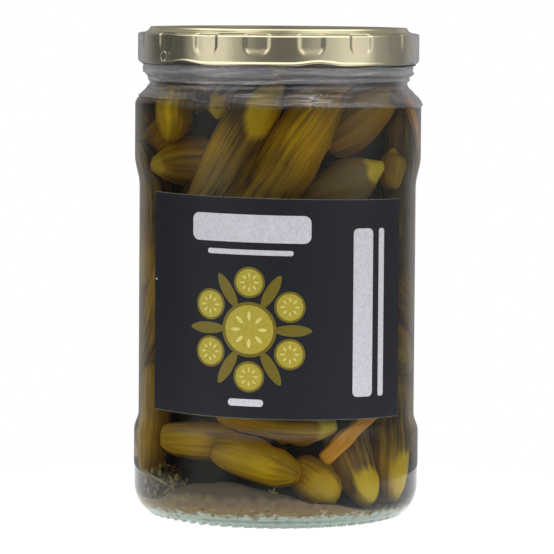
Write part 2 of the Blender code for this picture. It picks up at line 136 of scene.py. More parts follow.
# Label
LABEL_HALF_ARC = 60.0
LABEL_HEIGHT = 67.8 * MM
LABEL_MIDDLE_Z = 68.6 * MM
LABEL_SLANT = 0.9 * MM
LABEL_GAP = 0.06 * MM
LABEL_R = PANEL_R + LABEL_GAP

# Gherkins, packed as the part's source packs them
CONTENTS_GAP = 0.6 * MM
HEAP_TOP_Z = 143.5 * MM
CORE_Z = (6.5 * MM, HEAP_TOP_Z - 4 * MM)
NODES_PER_GHERKIN = 6
SETTLING_ROUNDS = 500
SOFTNESS = 0.9
PUSH = 0.4
PULL = 0.12
END_SHARE = 0.125
FRONT_GIVE = 0.03
SIDE_COUNT = 21
SIDE_AZIMUTHS = (90, 278)
SIDE_HEIGHTS = (18, 130)
SIDE_DISTANCE = 32.5
SIDE_LEAN = 48
HIDDEN_COUNT = 4
HIDDEN_AZIMUTHS = (-50, 54)
HIDDEN_HEIGHTS = (58, 74)
HIDDEN_DISTANCE = 25
HIDDEN_LEAN = 20
LENGTHS = (44, 58)
RADII = (6.6, 8.5)
GOLDEN = (math.sqrt(5) - 1) / 2

# Each gherkin at the front: azimuth, height and distance from the axis at its two ends, and its greatest
# radius, in degrees and millimetres
FRONT_GHERKINS = {
    "upright_upper_left": ((-58, 120, 36), (-63, 143, 31), 5.8),
    "bud_upper_left": ((-34, 126.5, 30), (-44, 143, 20), 4.8),
    "pointing_left": ((-75, 112, 36), (-8, 113, 15), 7.6),
    "leaning_left": ((-50, 86, 33), (-1, 143, 28), 8.0),
    "leaning_right": ((-29, 78, 33), (44, 143, 27), 8.3),
    "behind_upper_right": ((26, 117.5, 23), (80, 137, 30), 7.6),
    "pale_tip_right": ((58, 111.5, 36), (-2, 98, 19), 7.8),
    "upright_right": ((86, 128, 34), (84, 76, 32), 8.2),
    "end_by_pale_tip": ((67, 117, 34.5), (63, 104.5, 35.5), 4.2),
    "low_far_left": ((-84, 48, 33), (-80, 12, 34), 6.6),
    "low_left": ((-66, 25.6, 35), (-12, 26, 22), 6.1),
    "low_middle": ((-33, 24.2, 33), (13, 16.6, 34), 6.1),
    "low_whitish_tip": ((30, 29, 36), (-34, 36, 28), 6.2),
    "low_tan": ((9, 20, 27), (30, 8.5, 35), 6.6),
    "low_upright": ((40, 34, 26), (47, 4.6, 35), 6.6),
    "low_right": ((72, 44, 33), (68, 6.5, 34), 7.4),
}

# How each of them looks: how golden and how grey its skin is, how pale and how pointed its two ends are
PLAIN_LOOK = (0.45, 0.15, 0.15, 0.15, 0.1, 0.1)
INNER_LOOK = (0.05, 0.1, 0.0, 0.0, 0.1, 0.1)
FRONT_LOOKS = {
    "upright_upper_left": (0.75, 0.0, 0.0, 0.0, 0.1, 0.0),
    "bud_upper_left": (0.4, 0.0, 1.0, 0.0, 0.6, 0.0),
    "pointing_left": (0.34, 0.15, 0.5, 0.0, 0.5, 0.0),
    "leaning_left": (0.36, 0.12, 0.0, 0.0, 0.3, 0.0),
    "leaning_right": (0.52, 0.0, 0.0, 0.0, 0.0, 0.0),
    "behind_upper_right": (0.7, 0.35, 0.0, 0.2, 0.0, 0.2),
    "pale_tip_right": (0.4, 0.75, 1.3, 0.0, 0.6, 0.0),
    "upright_right": (0.25, 0.1, 0.0, 0.0, 0.0, 0.0),
    "end_by_pale_tip": (0.45, 0.1, 0.5, 0.0, 0.6, 0.0),
    "low_far_left": (0.6, 0.0, 0.0, 0.0, 0.0, 0.0),
    "low_left": (0.8, 0.15, 0.0, 0.0, 0.0, 0.0),
    "low_middle": (0.8, 0.1, 0.0, 0.0, 0.0, 0.1),
    "low_whitish_tip": (0.6, 0.0, 1.0, 0.0, 0.15, 0.0),
    "low_tan": (1.0, 0.15, 0.0, 0.0, 0.0, 0.0),
    "low_upright": (0.35, 0.1, 0.0, 0.5, 0.1, 0.1),
    "low_right": (0.4, 0.0, 0.0, 0.0, 0.1, 0.1),
}
UPPER_COUNT = 9

# Bleached patches: share of the length, angle round the gherkin in radians, half sizes of both, and strength
NO_PATCH = (0.0, 0.0, 1.0, 1.0, 0.0)
PATCHES = {
    "upright_upper_left": (0.35, 2.2, 0.4, 1.2, 0.5),
    "leaning_left": (0.82, 2.25, 0.25, 1.15, 2.2),
    "leaning_right": (0.62, 1.2, 0.3, 0.7, 0.35),
    "low_far_left": (0.6, 1.5, 0.5, 1.5, 0.3),
    "low_left": (0.3, 1.6, 0.45, 1.4, 0.35),
    "low_middle": (0.6, 1.6, 0.45, 1.4, 0.35),
    "low_tan": (0.75, 1.6, 0.4, 1.6, 0.95),
    "low_upright": (0.85, 1.6, 0.3, 1.6, 1.1),
    "low_right": (0.8, 1.6, 0.3, 1.4, 1.3),
}

# Carrot sticks: both ends as above, and the width
CARROTS = {
    "carrot_stick_low": ((51, 37.4, 38.8), (21, 21.4, 38.8), 4.8),
    "carrot_stick_high": ((75, 130, 38.2), (88, 117, 39.2), 3.8),
}
CARROT_FLATNESS = 0.7
CARROT_TAPER = 0.15
CARROT_GUARD = 0.85

# Dill against the wall at the lower left: azimuth, height and distance of its middle, its half sizes, and
# how many millimetres lower its threads lie
DILL_MIDDLE = (-59, 13.0, 37.4)
DILL_SIZE = (9.0 * MM, 3.2 * MM, 6.5 * MM)
DILL_SUNK = 1.8

# Settled spice: the mound at the front left of the floor, its dip at the dill, the azimuth beyond which a
# bank lies at the sides and back, the bank's height, and the least depth
MOUND_AZIMUTHS = (-105, 52)
MOUND_DIP = 0.6
MOUND_DIP_WIDTH = 22
BANK_AZIMUTH = 78
BANK_RISE = 7 * MM
SPICE_LEAST = 1.4 * MM

# Brightness of the studio's walls at each azimuth, and of the light above them
STUDIO_WALLS = (
    (-180, 0.2), (-150, 0.36), (-128, 0.12), (-110, 0.07), (-88, 0.09), (-77, 0.4), (-66, 1.0),
    (-46, 0.95), (-36, 0.55), (-18, 0.22), (0, 0.15), (13, 0.16), (20, 0.26), (36, 0.55), (52, 0.85),
    (62, 1.0), (78, 0.95), (90, 0.42), (106, 0.3), (126, 0.2), (150, 0.45), (180, 0.2),
)
STUDIO_SKY = ((-180, 0.2), (-110, 0.4), (-80, 2.0), (80, 2.0), (110, 0.4), (180, 0.2))
STRIP_LIGHT = 7.0
FLOOR_GLOW = 1.05
SENSOR_WIDTH = 36.0


def linear(code):
    """Linear red, green and blue of an sRGB hex code."""
    share = np.array([int(code[start:start + 2], 16) for start in (0, 2, 4)]) / 255
    return tuple(np.where(share <= 0.04045, share / 12.92, ((share + 0.055) / 1.055) ** 2.4).tolist())


def smooth(t):
    """Goes from 0 to 1 with level ends: 3 t squared less 2 t cubed."""
    t = np.clip(t, 0.0, 1.0)
    return t * t * (3.0 - 2.0 * t)


def bell(t):
    """1 at 0, falling smoothly to 0 at a distance of 1."""
    return smooth(1.0 - np.abs(t))


def place(azimuth, height, distance):
    """World point of an azimuth in degrees, a height and a distance from the axis; arrays give arrays."""
    turn = np.radians(azimuth)
    spot = np.broadcast_arrays(distance * np.sin(turn), -distance * np.cos(turn), height)
    return np.stack(spot, axis=-1)


def off_centre(azimuth, phase, count):
    """Signed angle from an azimuth to the nearest of count evenly spaced marks, in degrees."""
    pitch = 360.0 / count
    return (azimuth - phase + pitch / 2) % pitch - pitch / 2


def waves(points, size, seed, count=10):
    """Smooth noise near -1 to 1: the mean of sine waves of about the given length in random directions."""
    rng = np.random.default_rng(seed)
    ways = rng.normal(size=(count, 3))
    reach = (math.tau / size) * rng.uniform(0.6, 1.4, (count, 1))
    ways *= reach / np.linalg.norm(ways, axis=1, keepdims=True)
    return np.sin(points @ ways.T + rng.uniform(0, math.tau, count)).sum(axis=-1) / math.sqrt(count * 2)


def bend(start, end, steps):
    """Outline points of an S-shaped change from one (radius, height) to another."""
    share = np.linspace(0.0, 1.0, steps + 1)
    return [(start[0] + (end[0] - start[0]) * smooth(t), start[1] + (end[1] - start[1]) * t) for t in share]


def arc(centre, radii, first, last, steps):
    """Outline points of an elliptical arc, with angles in degrees from the outward radius."""
    angles = np.radians(np.linspace(first, last, steps + 1))
    return [(centre[0] + radii[0] * math.cos(a), centre[1] + radii[1] * math.sin(a)) for a in angles]


def run(start, end, steps):
    """Outline points of a straight run, without its first point."""
    return [tuple(np.array(start) + (np.array(end) - start) * t) for t in np.linspace(0, 1, steps + 1)[1:]]


def ring_shell(grid, poles=None, fields=None):
    """Closed shell on a grid of rings, each row one that turns counterclockwise about the way the rows run.

    With two poles the first and last rings close in fans on them, and without poles the last ring joins
    the first. fields holds one value or vector for each grid point, and a pole takes its ring's mean.
    """
    rows, columns = grid.shape[:2]
    index = np.arange(rows * columns).reshape(rows, columns)
    low, high = (index, np.roll(index, -1, axis=0)) if poles is None else (index[:-1], index[1:])
    after = lambda rings: np.roll(rings, -1, axis=1)
    quads = np.stack([low, after(low), after(high), high], axis=-1).reshape(-1, 4)
    points = grid.reshape(-1, 3)
    tris = np.zeros((0, 3), int)
    fields = {name: values.reshape(rows * columns, -1) for name, values in (fields or {}).items()}
    if poles is not None:
        foot = np.full(columns, rows * columns)
        first = np.stack([foot, after(index)[0], index[0]], axis=-1)
        last = np.stack([foot + 1, index[-1], after(index)[-1]], axis=-1)
        tris = np.concatenate([first, last])
        points = np.concatenate([points, np.array(poles)])
        for name, values in fields.items():
            ends = [values[:columns].mean(axis=0), values[-columns:].mean(axis=0)]
            fields[name] = np.concatenate([values, ends])
    return {"points": points, "quads": quads, "tris": tris, "fields": fields}


def joined(shells):
    """Several shells as one, with their point numbers moved on."""
    starts = np.cumsum([0] + [len(shell["points"]) for shell in shells[:-1]])
    made = {"points": np.concatenate([shell["points"] for shell in shells])}
    for kind in ("quads", "tris"):
        made[kind] = np.concatenate([shell[kind] + start for shell, start in zip(shells, starts)])
    made["fields"] = {
        name: np.concatenate([shell["fields"][name] for shell in shells]) for name in shells[0]["fields"]
    }
    return made


def turned(outline, columns, reshape=None):
    """Surface of revolution: point(s, a) = (r sin a, -r cos a, z) for the outline's r(s), z(s).

    An outline that starts and ends on the axis gets poles, and any other is a closed loop. reshape changes
    the arrays of radius and height by azimuth.
    """
    outline = np.array(outline)
    on_axis = outline[0, 0] < 1e-9
    azimuths = np.linspace(0.0, 360.0, columns, endpoint=False)
    inner = outline[1:-1] if on_axis else outline
    radius, height = (np.repeat(inner[:, number, None], columns, axis=1) for number in (0, 1))
    if reshape is not None:
        radius, height = reshape(radius, height, azimuths[None])
    poles = [(0.0, 0.0, outline[0, 1]), (0.0, 0.0, outline[-1, 1])] if on_axis else None
    return ring_shell(place(azimuths[None], height, radius), poles)


def frames(axis, slope):
    """Unit vectors along an axis, sideways and outward, so that sideways times outward is along."""
    along = slope / np.linalg.norm(slope, axis=1, keepdims=True)
    out = axis * [1.0, 1.0, 0.0]
    out /= np.maximum(np.linalg.norm(out, axis=1, keepdims=True), 1e-9)
    side = np.cross(out, along)
    side /= np.maximum(np.linalg.norm(side, axis=1, keepdims=True), 1e-9)
    return along, side, np.cross(along, side)


def swept(axis, across, deep, poles=None, fields=None):
    """Surface along an axis: point(s, t) = axis(s) + side(s) across(s, t) + out(s) deep(s, t)."""
    _, side, out = frames(axis, np.gradient(axis, axis=0))
    grid = axis[:, None] + side[:, None] * across[..., None] + out[:, None] * deep[..., None]
    return ring_shell(grid, poles or (axis[0], axis[-1]), fields)


def thread(start, middle, end, thickness, steps=9, sides=5):
    """Thin round thread on the quadratic curve of three points, pointed at both ends."""
    share = np.linspace(0.0, 1.0, steps)[:, None]
    axis = start * (1 - share) ** 2 + middle * (2 * share * (1 - share)) + end * share ** 2
    turn = np.linspace(0.0, math.tau, sides, endpoint=False)[None]
    thick = thickness * np.sqrt(np.clip(4 * share * (1 - share), 0.05, 1.0))
    return swept(axis, thick * np.cos(turn), thick * np.sin(turn))


def pebble(centre, sizes, seed, rows=5, sides=8):
    """Uneven crumb: a sphere scaled to three half sizes and dented by noise."""
    lift = np.linspace(0, math.pi, rows + 2)[1:-1, None]
    turn = np.linspace(0.0, math.tau, sides, endpoint=False)[None]
    ball = np.broadcast_arrays(np.sin(lift) * np.cos(turn), np.sin(lift) * np.sin(turn), -np.cos(lift))
    unit = np.stack(ball, axis=-1)
    unit = unit * (1 + 0.25 * waves(unit, 2.0, seed))[..., None]
    poles = [centre + np.array(sizes) * (0, 0, -1), centre + np.array(sizes) * (0, 0, 1)]
    return ring_shell(centre + unit * sizes, poles)


def put(name, shell, finish, replaces=(), sharp=180.0):
    """Makes a shell a piece of the object, with its fields as attributes."""
    mesh = bpy.data.meshes.new(name)
    quads, tris = shell["quads"], shell["tris"]
    corners = np.concatenate([quads.ravel(), tris.ravel()])
    starts = np.concatenate([np.arange(len(quads)) * 4, len(quads) * 4 + np.arange(len(tris)) * 3])
    mesh.vertices.add(len(shell["points"]))
    mesh.vertices.foreach_set("co", shell["points"].astype(np.float32).ravel())
    mesh.loops.add(len(corners))
    mesh.loops.foreach_set("vertex_index", corners.astype(np.int32))
    mesh.polygons.add(len(starts))
    mesh.polygons.foreach_set("loop_start", starts.astype(np.int32))
    mesh.update(calc_edges=True)
    for field, values in shell["fields"].items():
        vector = values.shape[1] == 3
        made = mesh.attributes.new(field, "FLOAT_VECTOR" if vector else "FLOAT", "POINT")
        made.data.foreach_set("vector" if vector else "value", values.astype(np.float32).ravel())
    mesh.shade_smooth()
    if sharp < 180.0:
        mesh.set_sharp_from_angle(angle=math.radians(sharp))
    mesh.materials.append(finish)
    piece = bpy.data.objects.new(name, mesh)
    bpy.context.scene.collection.objects.link(piece)
    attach(piece, BODY)
    if replaces:
        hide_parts(*replaces)
    return piece


def node(tree, kind, inputs=None, ramp=None, **settings):
    """Adds a node, sets its properties, colour stops and inputs, and links the inputs that are sockets."""
    made = tree.nodes.new("ShaderNode" + kind)
    for name, value in settings.items():
        setattr(made, name, value)
    for number, (position, colour) in enumerate(ramp or ()):
        stops = made.color_ramp.elements
        stop = stops[number] if number < 2 else stops.new(position)
        stop.position = position
        stop.color = (*colour, 1.0)
    for name, value in (inputs or {}).items():
        socket = made.inputs[name]
        if isinstance(value, bpy.types.NodeSocket):
            tree.links.new(value, socket)
        else:
            socket.default_value = value
    return made


def material(name, inputs):
    """New material whose Principled shader has the given inputs. Returns it, its tree and its shader."""
    made = bpy.data.materials.new(name)
    made.use_nodes = True
    shader = made.node_tree.nodes["Principled BSDF"]
    for socket, value in inputs.items():
        shader.inputs[socket].default_value = value
    return made, made.node_tree, shader


def per(millimetres):
    """Noise scale whose pattern repeats about every so many millimetres."""
    return 1.0 / (millimetres * MM)


def rough_skin(tree, shader, noise, depth, share=1.0):
    """Gives a shader the relief of a noise, in metres."""
    bump = node(tree, "Bump", {"Height": noise, "Distance": depth, "Strength": share})
    tree.links.new(bump.outputs["Normal"], shader.inputs["Normal"])


def clear_filling(name, ior, shine, tint, density):
    """Clear material that tints light by how deep the light goes through it."""
    made, tree, _ = material(name, {
        "Base Color": (1.0, 1.0, 1.0, 1.0), "Roughness": 0.0, "IOR": ior, "Transmission Weight": 1.0,
        "Specular Tint": (shine, shine, shine, 1.0),
    })
    depth = node(tree, "VolumeAbsorption", {"Color": (*tint, 1.0), "Density": density})
    tree.links.new(depth.outputs[0], tree.nodes["Material Output"].inputs["Volume"])
    return made


def soda_lime_glass(tint, density):
    """Pressed soda lime glass: clear, hard, and aqua only where the eye looks along it, as in the foot."""
    return clear_filling("soda_lime_glass", 1.5, 0.2, tint, density)


def pickling_brine(tint, density):
    """Brine with vinegar and spice: clear, but amber brown through its depth, so that gaps look dark."""
    return clear_filling("pickling_brine", 1.32, 0.1, tint, density)


def lacquered_tinplate(colour):
    """Tinplate under gold lacquer, pressed and rolled: a clear champagne mirror, a little soft."""
    made, tree, shader = material("lacquered_tinplate", {
        "Base Color": (*colour, 1.0), "Metallic": 1.0, "Roughness": 0.1,
        "Coat Weight": 0.25, "Coat Roughness": 0.05,
    })
    where = node(tree, "TexCoord")
    peel = node(tree, "TexNoise", {"Vector": where.outputs["Object"], "Scale": per(1.6), "Detail": 2.0})
    rough_skin(tree, shader, peel.outputs["Fac"], 0.02 * MM)
    return made


def shrink_film(name, clearness):
    """Shrunk polyvinyl film: thin, as clear as given, with a shine that the fine wrinkles break up."""
    made, _, _ = material(name, {
        "Base Color": (0.97, 0.96, 0.98, 1.0), "Roughness": 0.0, "IOR": 1.5, "Transmission Weight": clearness,
        "Specular Tint": (0.6, 0.6, 0.6, 1.0),
    })
    return made


def mottled(name, inputs, size, detail, stops):
    """Material coloured by noise of so many millimetres. Returns it, its tree, its shader and the noise."""
    made, tree, shader = material(name, inputs)
    where = node(tree, "TexCoord").outputs["Object"]
    noise = node(tree, "TexNoise", {"Vector": where, "Scale": per(size), "Detail": detail}).outputs["Fac"]
    shade = node(tree, "ValToRGB", {"Fac": noise}, ramp=stops)
    tree.links.new(shade.outputs["Color"], shader.inputs["Base Color"])
    return made, tree, shader, noise


def coated_paper(colour):
    """Coated label paper printed charcoal all over: an even, dull dark face with a faint grain of fibres."""
    light = tuple(min(1.0, share * 1.25 + 0.002) for share in colour)
    finish = {"Roughness": 0.5, "Specular IOR Level": 0.2}
    made, tree, shader, grain = mottled("coated_paper", finish, 0.5, 3.0, [(0.3, colour), (0.7, light)])
    rough_skin(tree, shader, grain, 0.03 * MM)
    return made


def printing_ink(name, colour):
    """Offset ink on coated paper: flat colour with a slight mottle and a soft shine."""
    dark = tuple(share * 0.86 for share in colour)
    finish = {"Roughness": 0.42, "Specular IOR Level": 0.4}
    return mottled(name, finish, 0.9, 4.0, [(0.35, dark), (0.6, colour)])[0]


def gherkin_skin(brown, gold, bleached, pale, grey):
    """Pickled gherkin skin: olive brown gone gold in patches, streaked along its length, pale at some tips.

    Fine streaks and broad patches, with how golden a gherkin is, choose the colour from brown to gold. Then
    the bleached patches, the dull skins and the pale tips are laid over it.
    """
    made, tree, shader = material("gherkin_skin", {"Roughness": 0.38, "Specular IOR Level": 0.15})
    straight = node(tree, "Attribute", attribute_name="straight").outputs["Vector"]
    golden, bleaching, greyness, paleness = (
        node(tree, "Attribute", attribute_name=field).outputs["Fac"]
        for field in ("golden", "bleaching", "greyness", "paleness")
    )
    drawn = node(tree, "Mapping", {"Vector": straight, "Scale": (1.0, 1.0, 0.07)}).outputs["Vector"]
    streaks = node(tree, "TexNoise", {"Vector": drawn, "Scale": per(1.3), "Detail": 5.0}).outputs["Fac"]
    patches = node(tree, "TexNoise", {"Vector": straight, "Scale": per(16.0), "Detail": 2.0}).outputs["Fac"]
    lit = node(tree, "Math", {0: patches, 1: 1.1, 2: golden}, operation="MULTIPLY_ADD").outputs[0]
    streaked = node(tree, "Math", {0: streaks, 1: 1.5, 2: lit}, operation="MULTIPLY_ADD").outputs[0]
    level = node(tree, "Math", {0: streaked, 1: 1.28}, operation="SUBTRACT").outputs[0]
    middle = tuple((b + g) / 2 for b, g in zip(brown, gold))
    light = tuple((b + 3 * g) / 4 for b, g in zip(bleached, gold))
    stops = [(0.1, brown), (1.0, light), (0.45, middle), (0.85, gold)]
    skin = node(tree, "ValToRGB", {"Fac": level}, ramp=stops).outputs["Color"]
    faded = node(tree, "Math", {0: streaks, 1: 0.8, 2: bleaching}, operation="MULTIPLY_ADD").outputs[0]
    fade = node(tree, "MapRange", {"Value": faded, "From Min": 0.55, "From Max": 1.0}).outputs[0]
    for share, colour in ((fade, bleached), (greyness, grey), (paleness, pale)):
        skin = node(tree, "Mix", {0: share, 6: skin, 7: (*colour, 1.0)}, data_type="RGBA").outputs[2]
    tree.links.new(skin, shader.inputs["Base Color"])
    rough_skin(tree, shader, streaks, 0.25 * MM)
    return made


def core_flesh(colour):
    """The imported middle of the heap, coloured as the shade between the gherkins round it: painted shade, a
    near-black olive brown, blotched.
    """
    dark = tuple(share * 0.45 for share in colour)
    return mottled("core_flesh", {"Roughness": 0.6}, 7.0, 3.0, [(0.35, dark), (0.7, colour)])[0]


def carrot_flesh(colour):
    """Pickled carrot: faded orange, with fibres along the stick and a paler heart."""
    made, tree, shader = material("carrot_flesh", {"Roughness": 0.4, "Specular IOR Level": 0.15})
    straight = node(tree, "Attribute", attribute_name="straight")
    drawn = node(tree, "Mapping", {"Vector": straight.outputs["Vector"], "Scale": (1.0, 1.0, 0.12)})
    fibres = node(tree, "TexNoise", {"Vector": drawn.outputs["Vector"], "Scale": per(0.8), "Detail": 4.0})
    pale = tuple(min(1.0, share * 1.5 + 0.03) for share in colour)
    shade = node(tree, "ValToRGB", {"Fac": fibres.outputs["Fac"]}, ramp=[(0.3, colour), (0.75, pale)])
    tree.links.new(shade.outputs["Color"], shader.inputs["Base Color"])
    rough_skin(tree, shader, fibres.outputs["Fac"], 0.2 * MM)
    return made


def soaked_herb(name, dark, light):
    """Dill and spice soaked for weeks: dull olive to straw, changing from thread to thread."""
    return mottled(name, {"Roughness": 0.6}, 2.5, 3.0, [(0.35, dark), (0.65, light)])[0]


def settled_spice(cloud, tan, silt):
    """Fine spice and flesh settled on the floor: pale silt on the glass, tan above it, brown on top. The
    near-white at the bottom is partly painted highlight, standing for the bright line along the floor's edge,
    and the brown darkens to painted shade towards the top, where the mound meets the dark core.
    """
    made, tree, shader = material("settled_spice", {"Roughness": 0.8, "Specular IOR Level": 0.1})
    where = node(tree, "TexCoord").outputs["Object"]
    murk = node(tree, "Attribute", attribute_name="murk").outputs["Fac"]
    lumps = node(tree, "TexNoise", {"Vector": where, "Scale": per(2.6), "Detail": 6.0, "Roughness": 0.65})
    mixed = node(tree, "Math", {0: lumps.outputs["Fac"], 1: 0.65, 2: murk}, operation="MULTIPLY_ADD")
    # Painted shade: the top of the mound goes to a third of the spice colour, fading into the dark core.
    dark = tuple(share * 0.35 for share in cloud)
    # Painted highlight in part: the near-white stop at the low end stands for the bright floor's edge seen
    # through the base.
    shade = node(tree, "ValToRGB", {"Fac": mixed.outputs[0]}, ramp=[
        (0.38, silt), (1.0, dark), (0.46, tan), (0.7, cloud),
    ])
    tree.links.new(shade.outputs["Color"], shader.inputs["Base Color"])
    return made


def outer_side():
    """Outside of the jar from the foot to the lip."""
    rise = HEEL_TOP_Z
    heel = arc((FOOT_R, rise), (BODY_R - FOOT_R, rise), -90, 0, 22)
    low_step = bend((BODY_R, PANEL_LOW_Z[0]), (PANEL_R, PANEL_LOW_Z[1]), 12)
    high_step = bend((PANEL_R, PANEL_HIGH_Z[0]), (SHOULDER_BAND_R, PANEL_HIGH_Z[1]), 16)
    shoulder = bend((SHOULDER_BAND_R, SHOULDER_Z[0]), (NECK_R, SHOULDER_Z[1]), 18)
    bead_middle = sum(BEAD_Z) / 2
    bead = arc((NECK_R, bead_middle), (BEAD_R - NECK_R, bead_middle - BEAD_Z[0]), -90, 70, 14)
    finish = [(FINISH_R, BEAD_Z[1] + MM), (FINISH_R, LIP_Z - MM)]
    lip = arc((FINISH_R - MM, LIP_Z - MM), (MM, MM), 0, 90, 6)
    return heel + low_step + high_step + shoulder + bead + finish + lip


def inner_side(corner_steps=4, shoulder_steps=3, step_steps=2):
    """Inside of the jar from the mouth to the middle of the floor."""
    mouth = [(MOUTH_R, LIP_Z), (MOUTH_R, SHOULDER_Z[1] + MM)]
    shoulder = bend((MOUTH_R, SHOULDER_Z[1]), (SHOULDER_BAND_R - WALL, SHOULDER_Z[0] - MM), shoulder_steps)
    high_step = bend((SHOULDER_BAND_R - WALL, PANEL_HIGH_Z[1]), (PANEL_R - WALL, PANEL_HIGH_Z[0]), step_steps)
    low_step = bend((PANEL_R - WALL, PANEL_LOW_Z[1]), (BODY_R - WALL, PANEL_LOW_Z[0]), step_steps)
    corner = HEEL_TOP_Z - FLOOR_EDGE_Z
    heel = arc((BODY_R - WALL - corner, HEEL_TOP_Z), (corner, corner), 0, -90, corner_steps)
    return mouth + shoulder + high_step + low_step + heel + [(0.0, FLOOR_MIDDLE_Z)]


def fine_inner_side():
    """The inside with enough points to look round, and the floor domed instead of straight."""
    coarse = inner_side(18, 16, 12)
    edge = coarse[-2][0]
    drop = FLOOR_EDGE_Z - FLOOR_MIDDLE_Z
    floor = [(edge * t, FLOOR_MIDDLE_Z + drop * t ** 2) for t in np.linspace(1, 0, 14)[1:]]
    return coarse[:-1] + floor


def wall_at(height):
    """Inside radius of the jar at each height."""
    outline = np.array(inner_side()[:-1])[::-1]
    return np.interp(height, outline[:, 1], outline[:, 0])


def outside_at(height):
    """Outside radius of the jar at each height below the bead."""
    outline = np.array([point for point in outer_side() if point[1] < BEAD_Z[0]])
    return np.interp(height, outline[:, 1], outline[:, 0])


def glass_shell(knurls, knurl_rise):
    """The jar, turned: foot with a domed push-up and a ring of knurls, wall and finish, then the inside."""
    edge_r, edge_z = PUSH_UP_EDGE
    dome = [(edge_r * t, PUSH_UP_Z + (edge_z - PUSH_UP_Z) * t ** 2) for t in np.linspace(0, 1, 12)]
    foot = bend(PUSH_UP_EDGE, (FOOT_INNER_R, 0.0), 5)[1:] + run((FOOT_INNER_R, 0.0), (FOOT_R, 0.0), 5)[:-1]
    lip = arc((MOUTH_R + MM, LIP_Z - MM), (MM, MM), 90, 180, 6)
    inside = fine_inner_side()[1:]

    def knurled(radius, height, azimuths):
        away = off_centre(azimuths + 3 * np.cos((radius - FOOT_R) / MM), 0.0, knurls)
        bar = bell(away / (180.0 / knurls) / 0.6)
        under = (height < 2.2 * MM) & (radius > FOOT_INNER_R - MM)
        window = smooth((radius - FOOT_INNER_R) / MM) * smooth((FOOT_R + 5 * MM - radius) / (1.5 * MM))
        return radius, height + np.where(under, knurl_rise * (1 - bar) * window, 0.0)

    return turned(dome + foot + outer_side() + lip + inside, GLASS_COLUMNS, knurled)


def lid_outline():
    """The lid from the middle of its top, over the skirt and the rolled curl, to the middle of its inside."""
    ring_inner, ring_outer = LID_RING_R
    ceiling = LID_PANEL_Z - LID_SHEET
    button = [
        (BUTTON_R * t, LID_PANEL_Z + BUTTON_RISE * (1 - smooth(t))) for t in np.linspace(0, 1, 12)
    ]
    panel = run((BUTTON_R, LID_PANEL_Z), (ring_inner - 1.6 * MM, LID_PANEL_Z), 6)
    rise = bend((LID_PANEL_Z, ring_inner - 1.6 * MM), (LID_TOP_Z, ring_inner), 8)
    ring = [(radius, height) for height, radius in rise]
    ring += run((ring_inner, LID_TOP_Z), (ring_outer, LID_TOP_Z), 3)
    wall = bend((ring_outer, LID_TOP_Z), (ring_outer + 0.9 * MM, LID_SHOULDER_Z + 0.45 * MM), 8)[1:]
    shelf = arc((LID_R - 0.9 * MM, LID_SHOULDER_Z - 0.55 * MM), (0.9 * MM, 0.9 * MM), 90, 0, 10)
    skirt = run((LID_R, LID_SHOULDER_Z - 0.55 * MM), (LID_R, LID_CURL_Z + 1.7 * MM), 26)
    curl = arc((LID_CURL_R - 0.6 * MM, LID_CURL_Z + 0.6 * MM), (0.6 * MM, 0.6 * MM), 40, -150, 12)
    inside = run((LID_INNER_R, LID_CURL_Z + 1.6 * MM), (LID_INNER_R, LID_SHOULDER_Z - 1.2 * MM), 4)
    corner = arc((LID_INNER_R - MM, ceiling - MM), (MM, MM), 0, 90, 6)
    return button + panel + ring + wall + shelf + skirt + curl + inside + corner + [(0.0, ceiling)]


def lid_shell(flute_depth):
    """The lid, turned, with flutes pressed in down to mid skirt and the edge lifted at the lugs."""
    whole, gone = FLUTE_HALF_WIDTH

    def pressed(radius, height, azimuths):
        away = np.abs(off_centre(azimuths, FLUTE_PHASE, FLUTES))
        below = (LID_SHOULDER_Z - height) / MM
        narrowing = np.clip((below - 3.0) / 3.2, 0.0, 1.0) ** 2
        press = smooth((gone - away - narrowing * 2.2) / (gone - whole)) * smooth((7.0 - below) / 4.4)
        outside = smooth((radius - (LID_R - 1.3 * MM)) / (0.6 * MM)) * (below > -0.6)
        radius = radius - flute_depth * press * outside
        lug = bell(off_centre(azimuths, LUG_PHASE, LUGS) / LUG_HALF_WIDTH)
        low = smooth((LID_CURL_Z + 2.4 * MM - height) / (1.2 * MM))
        return radius, height + LUG_RISE * lug * low

    outline = lid_outline()
    return turned(outline[::-1], LID_COLUMNS, pressed)


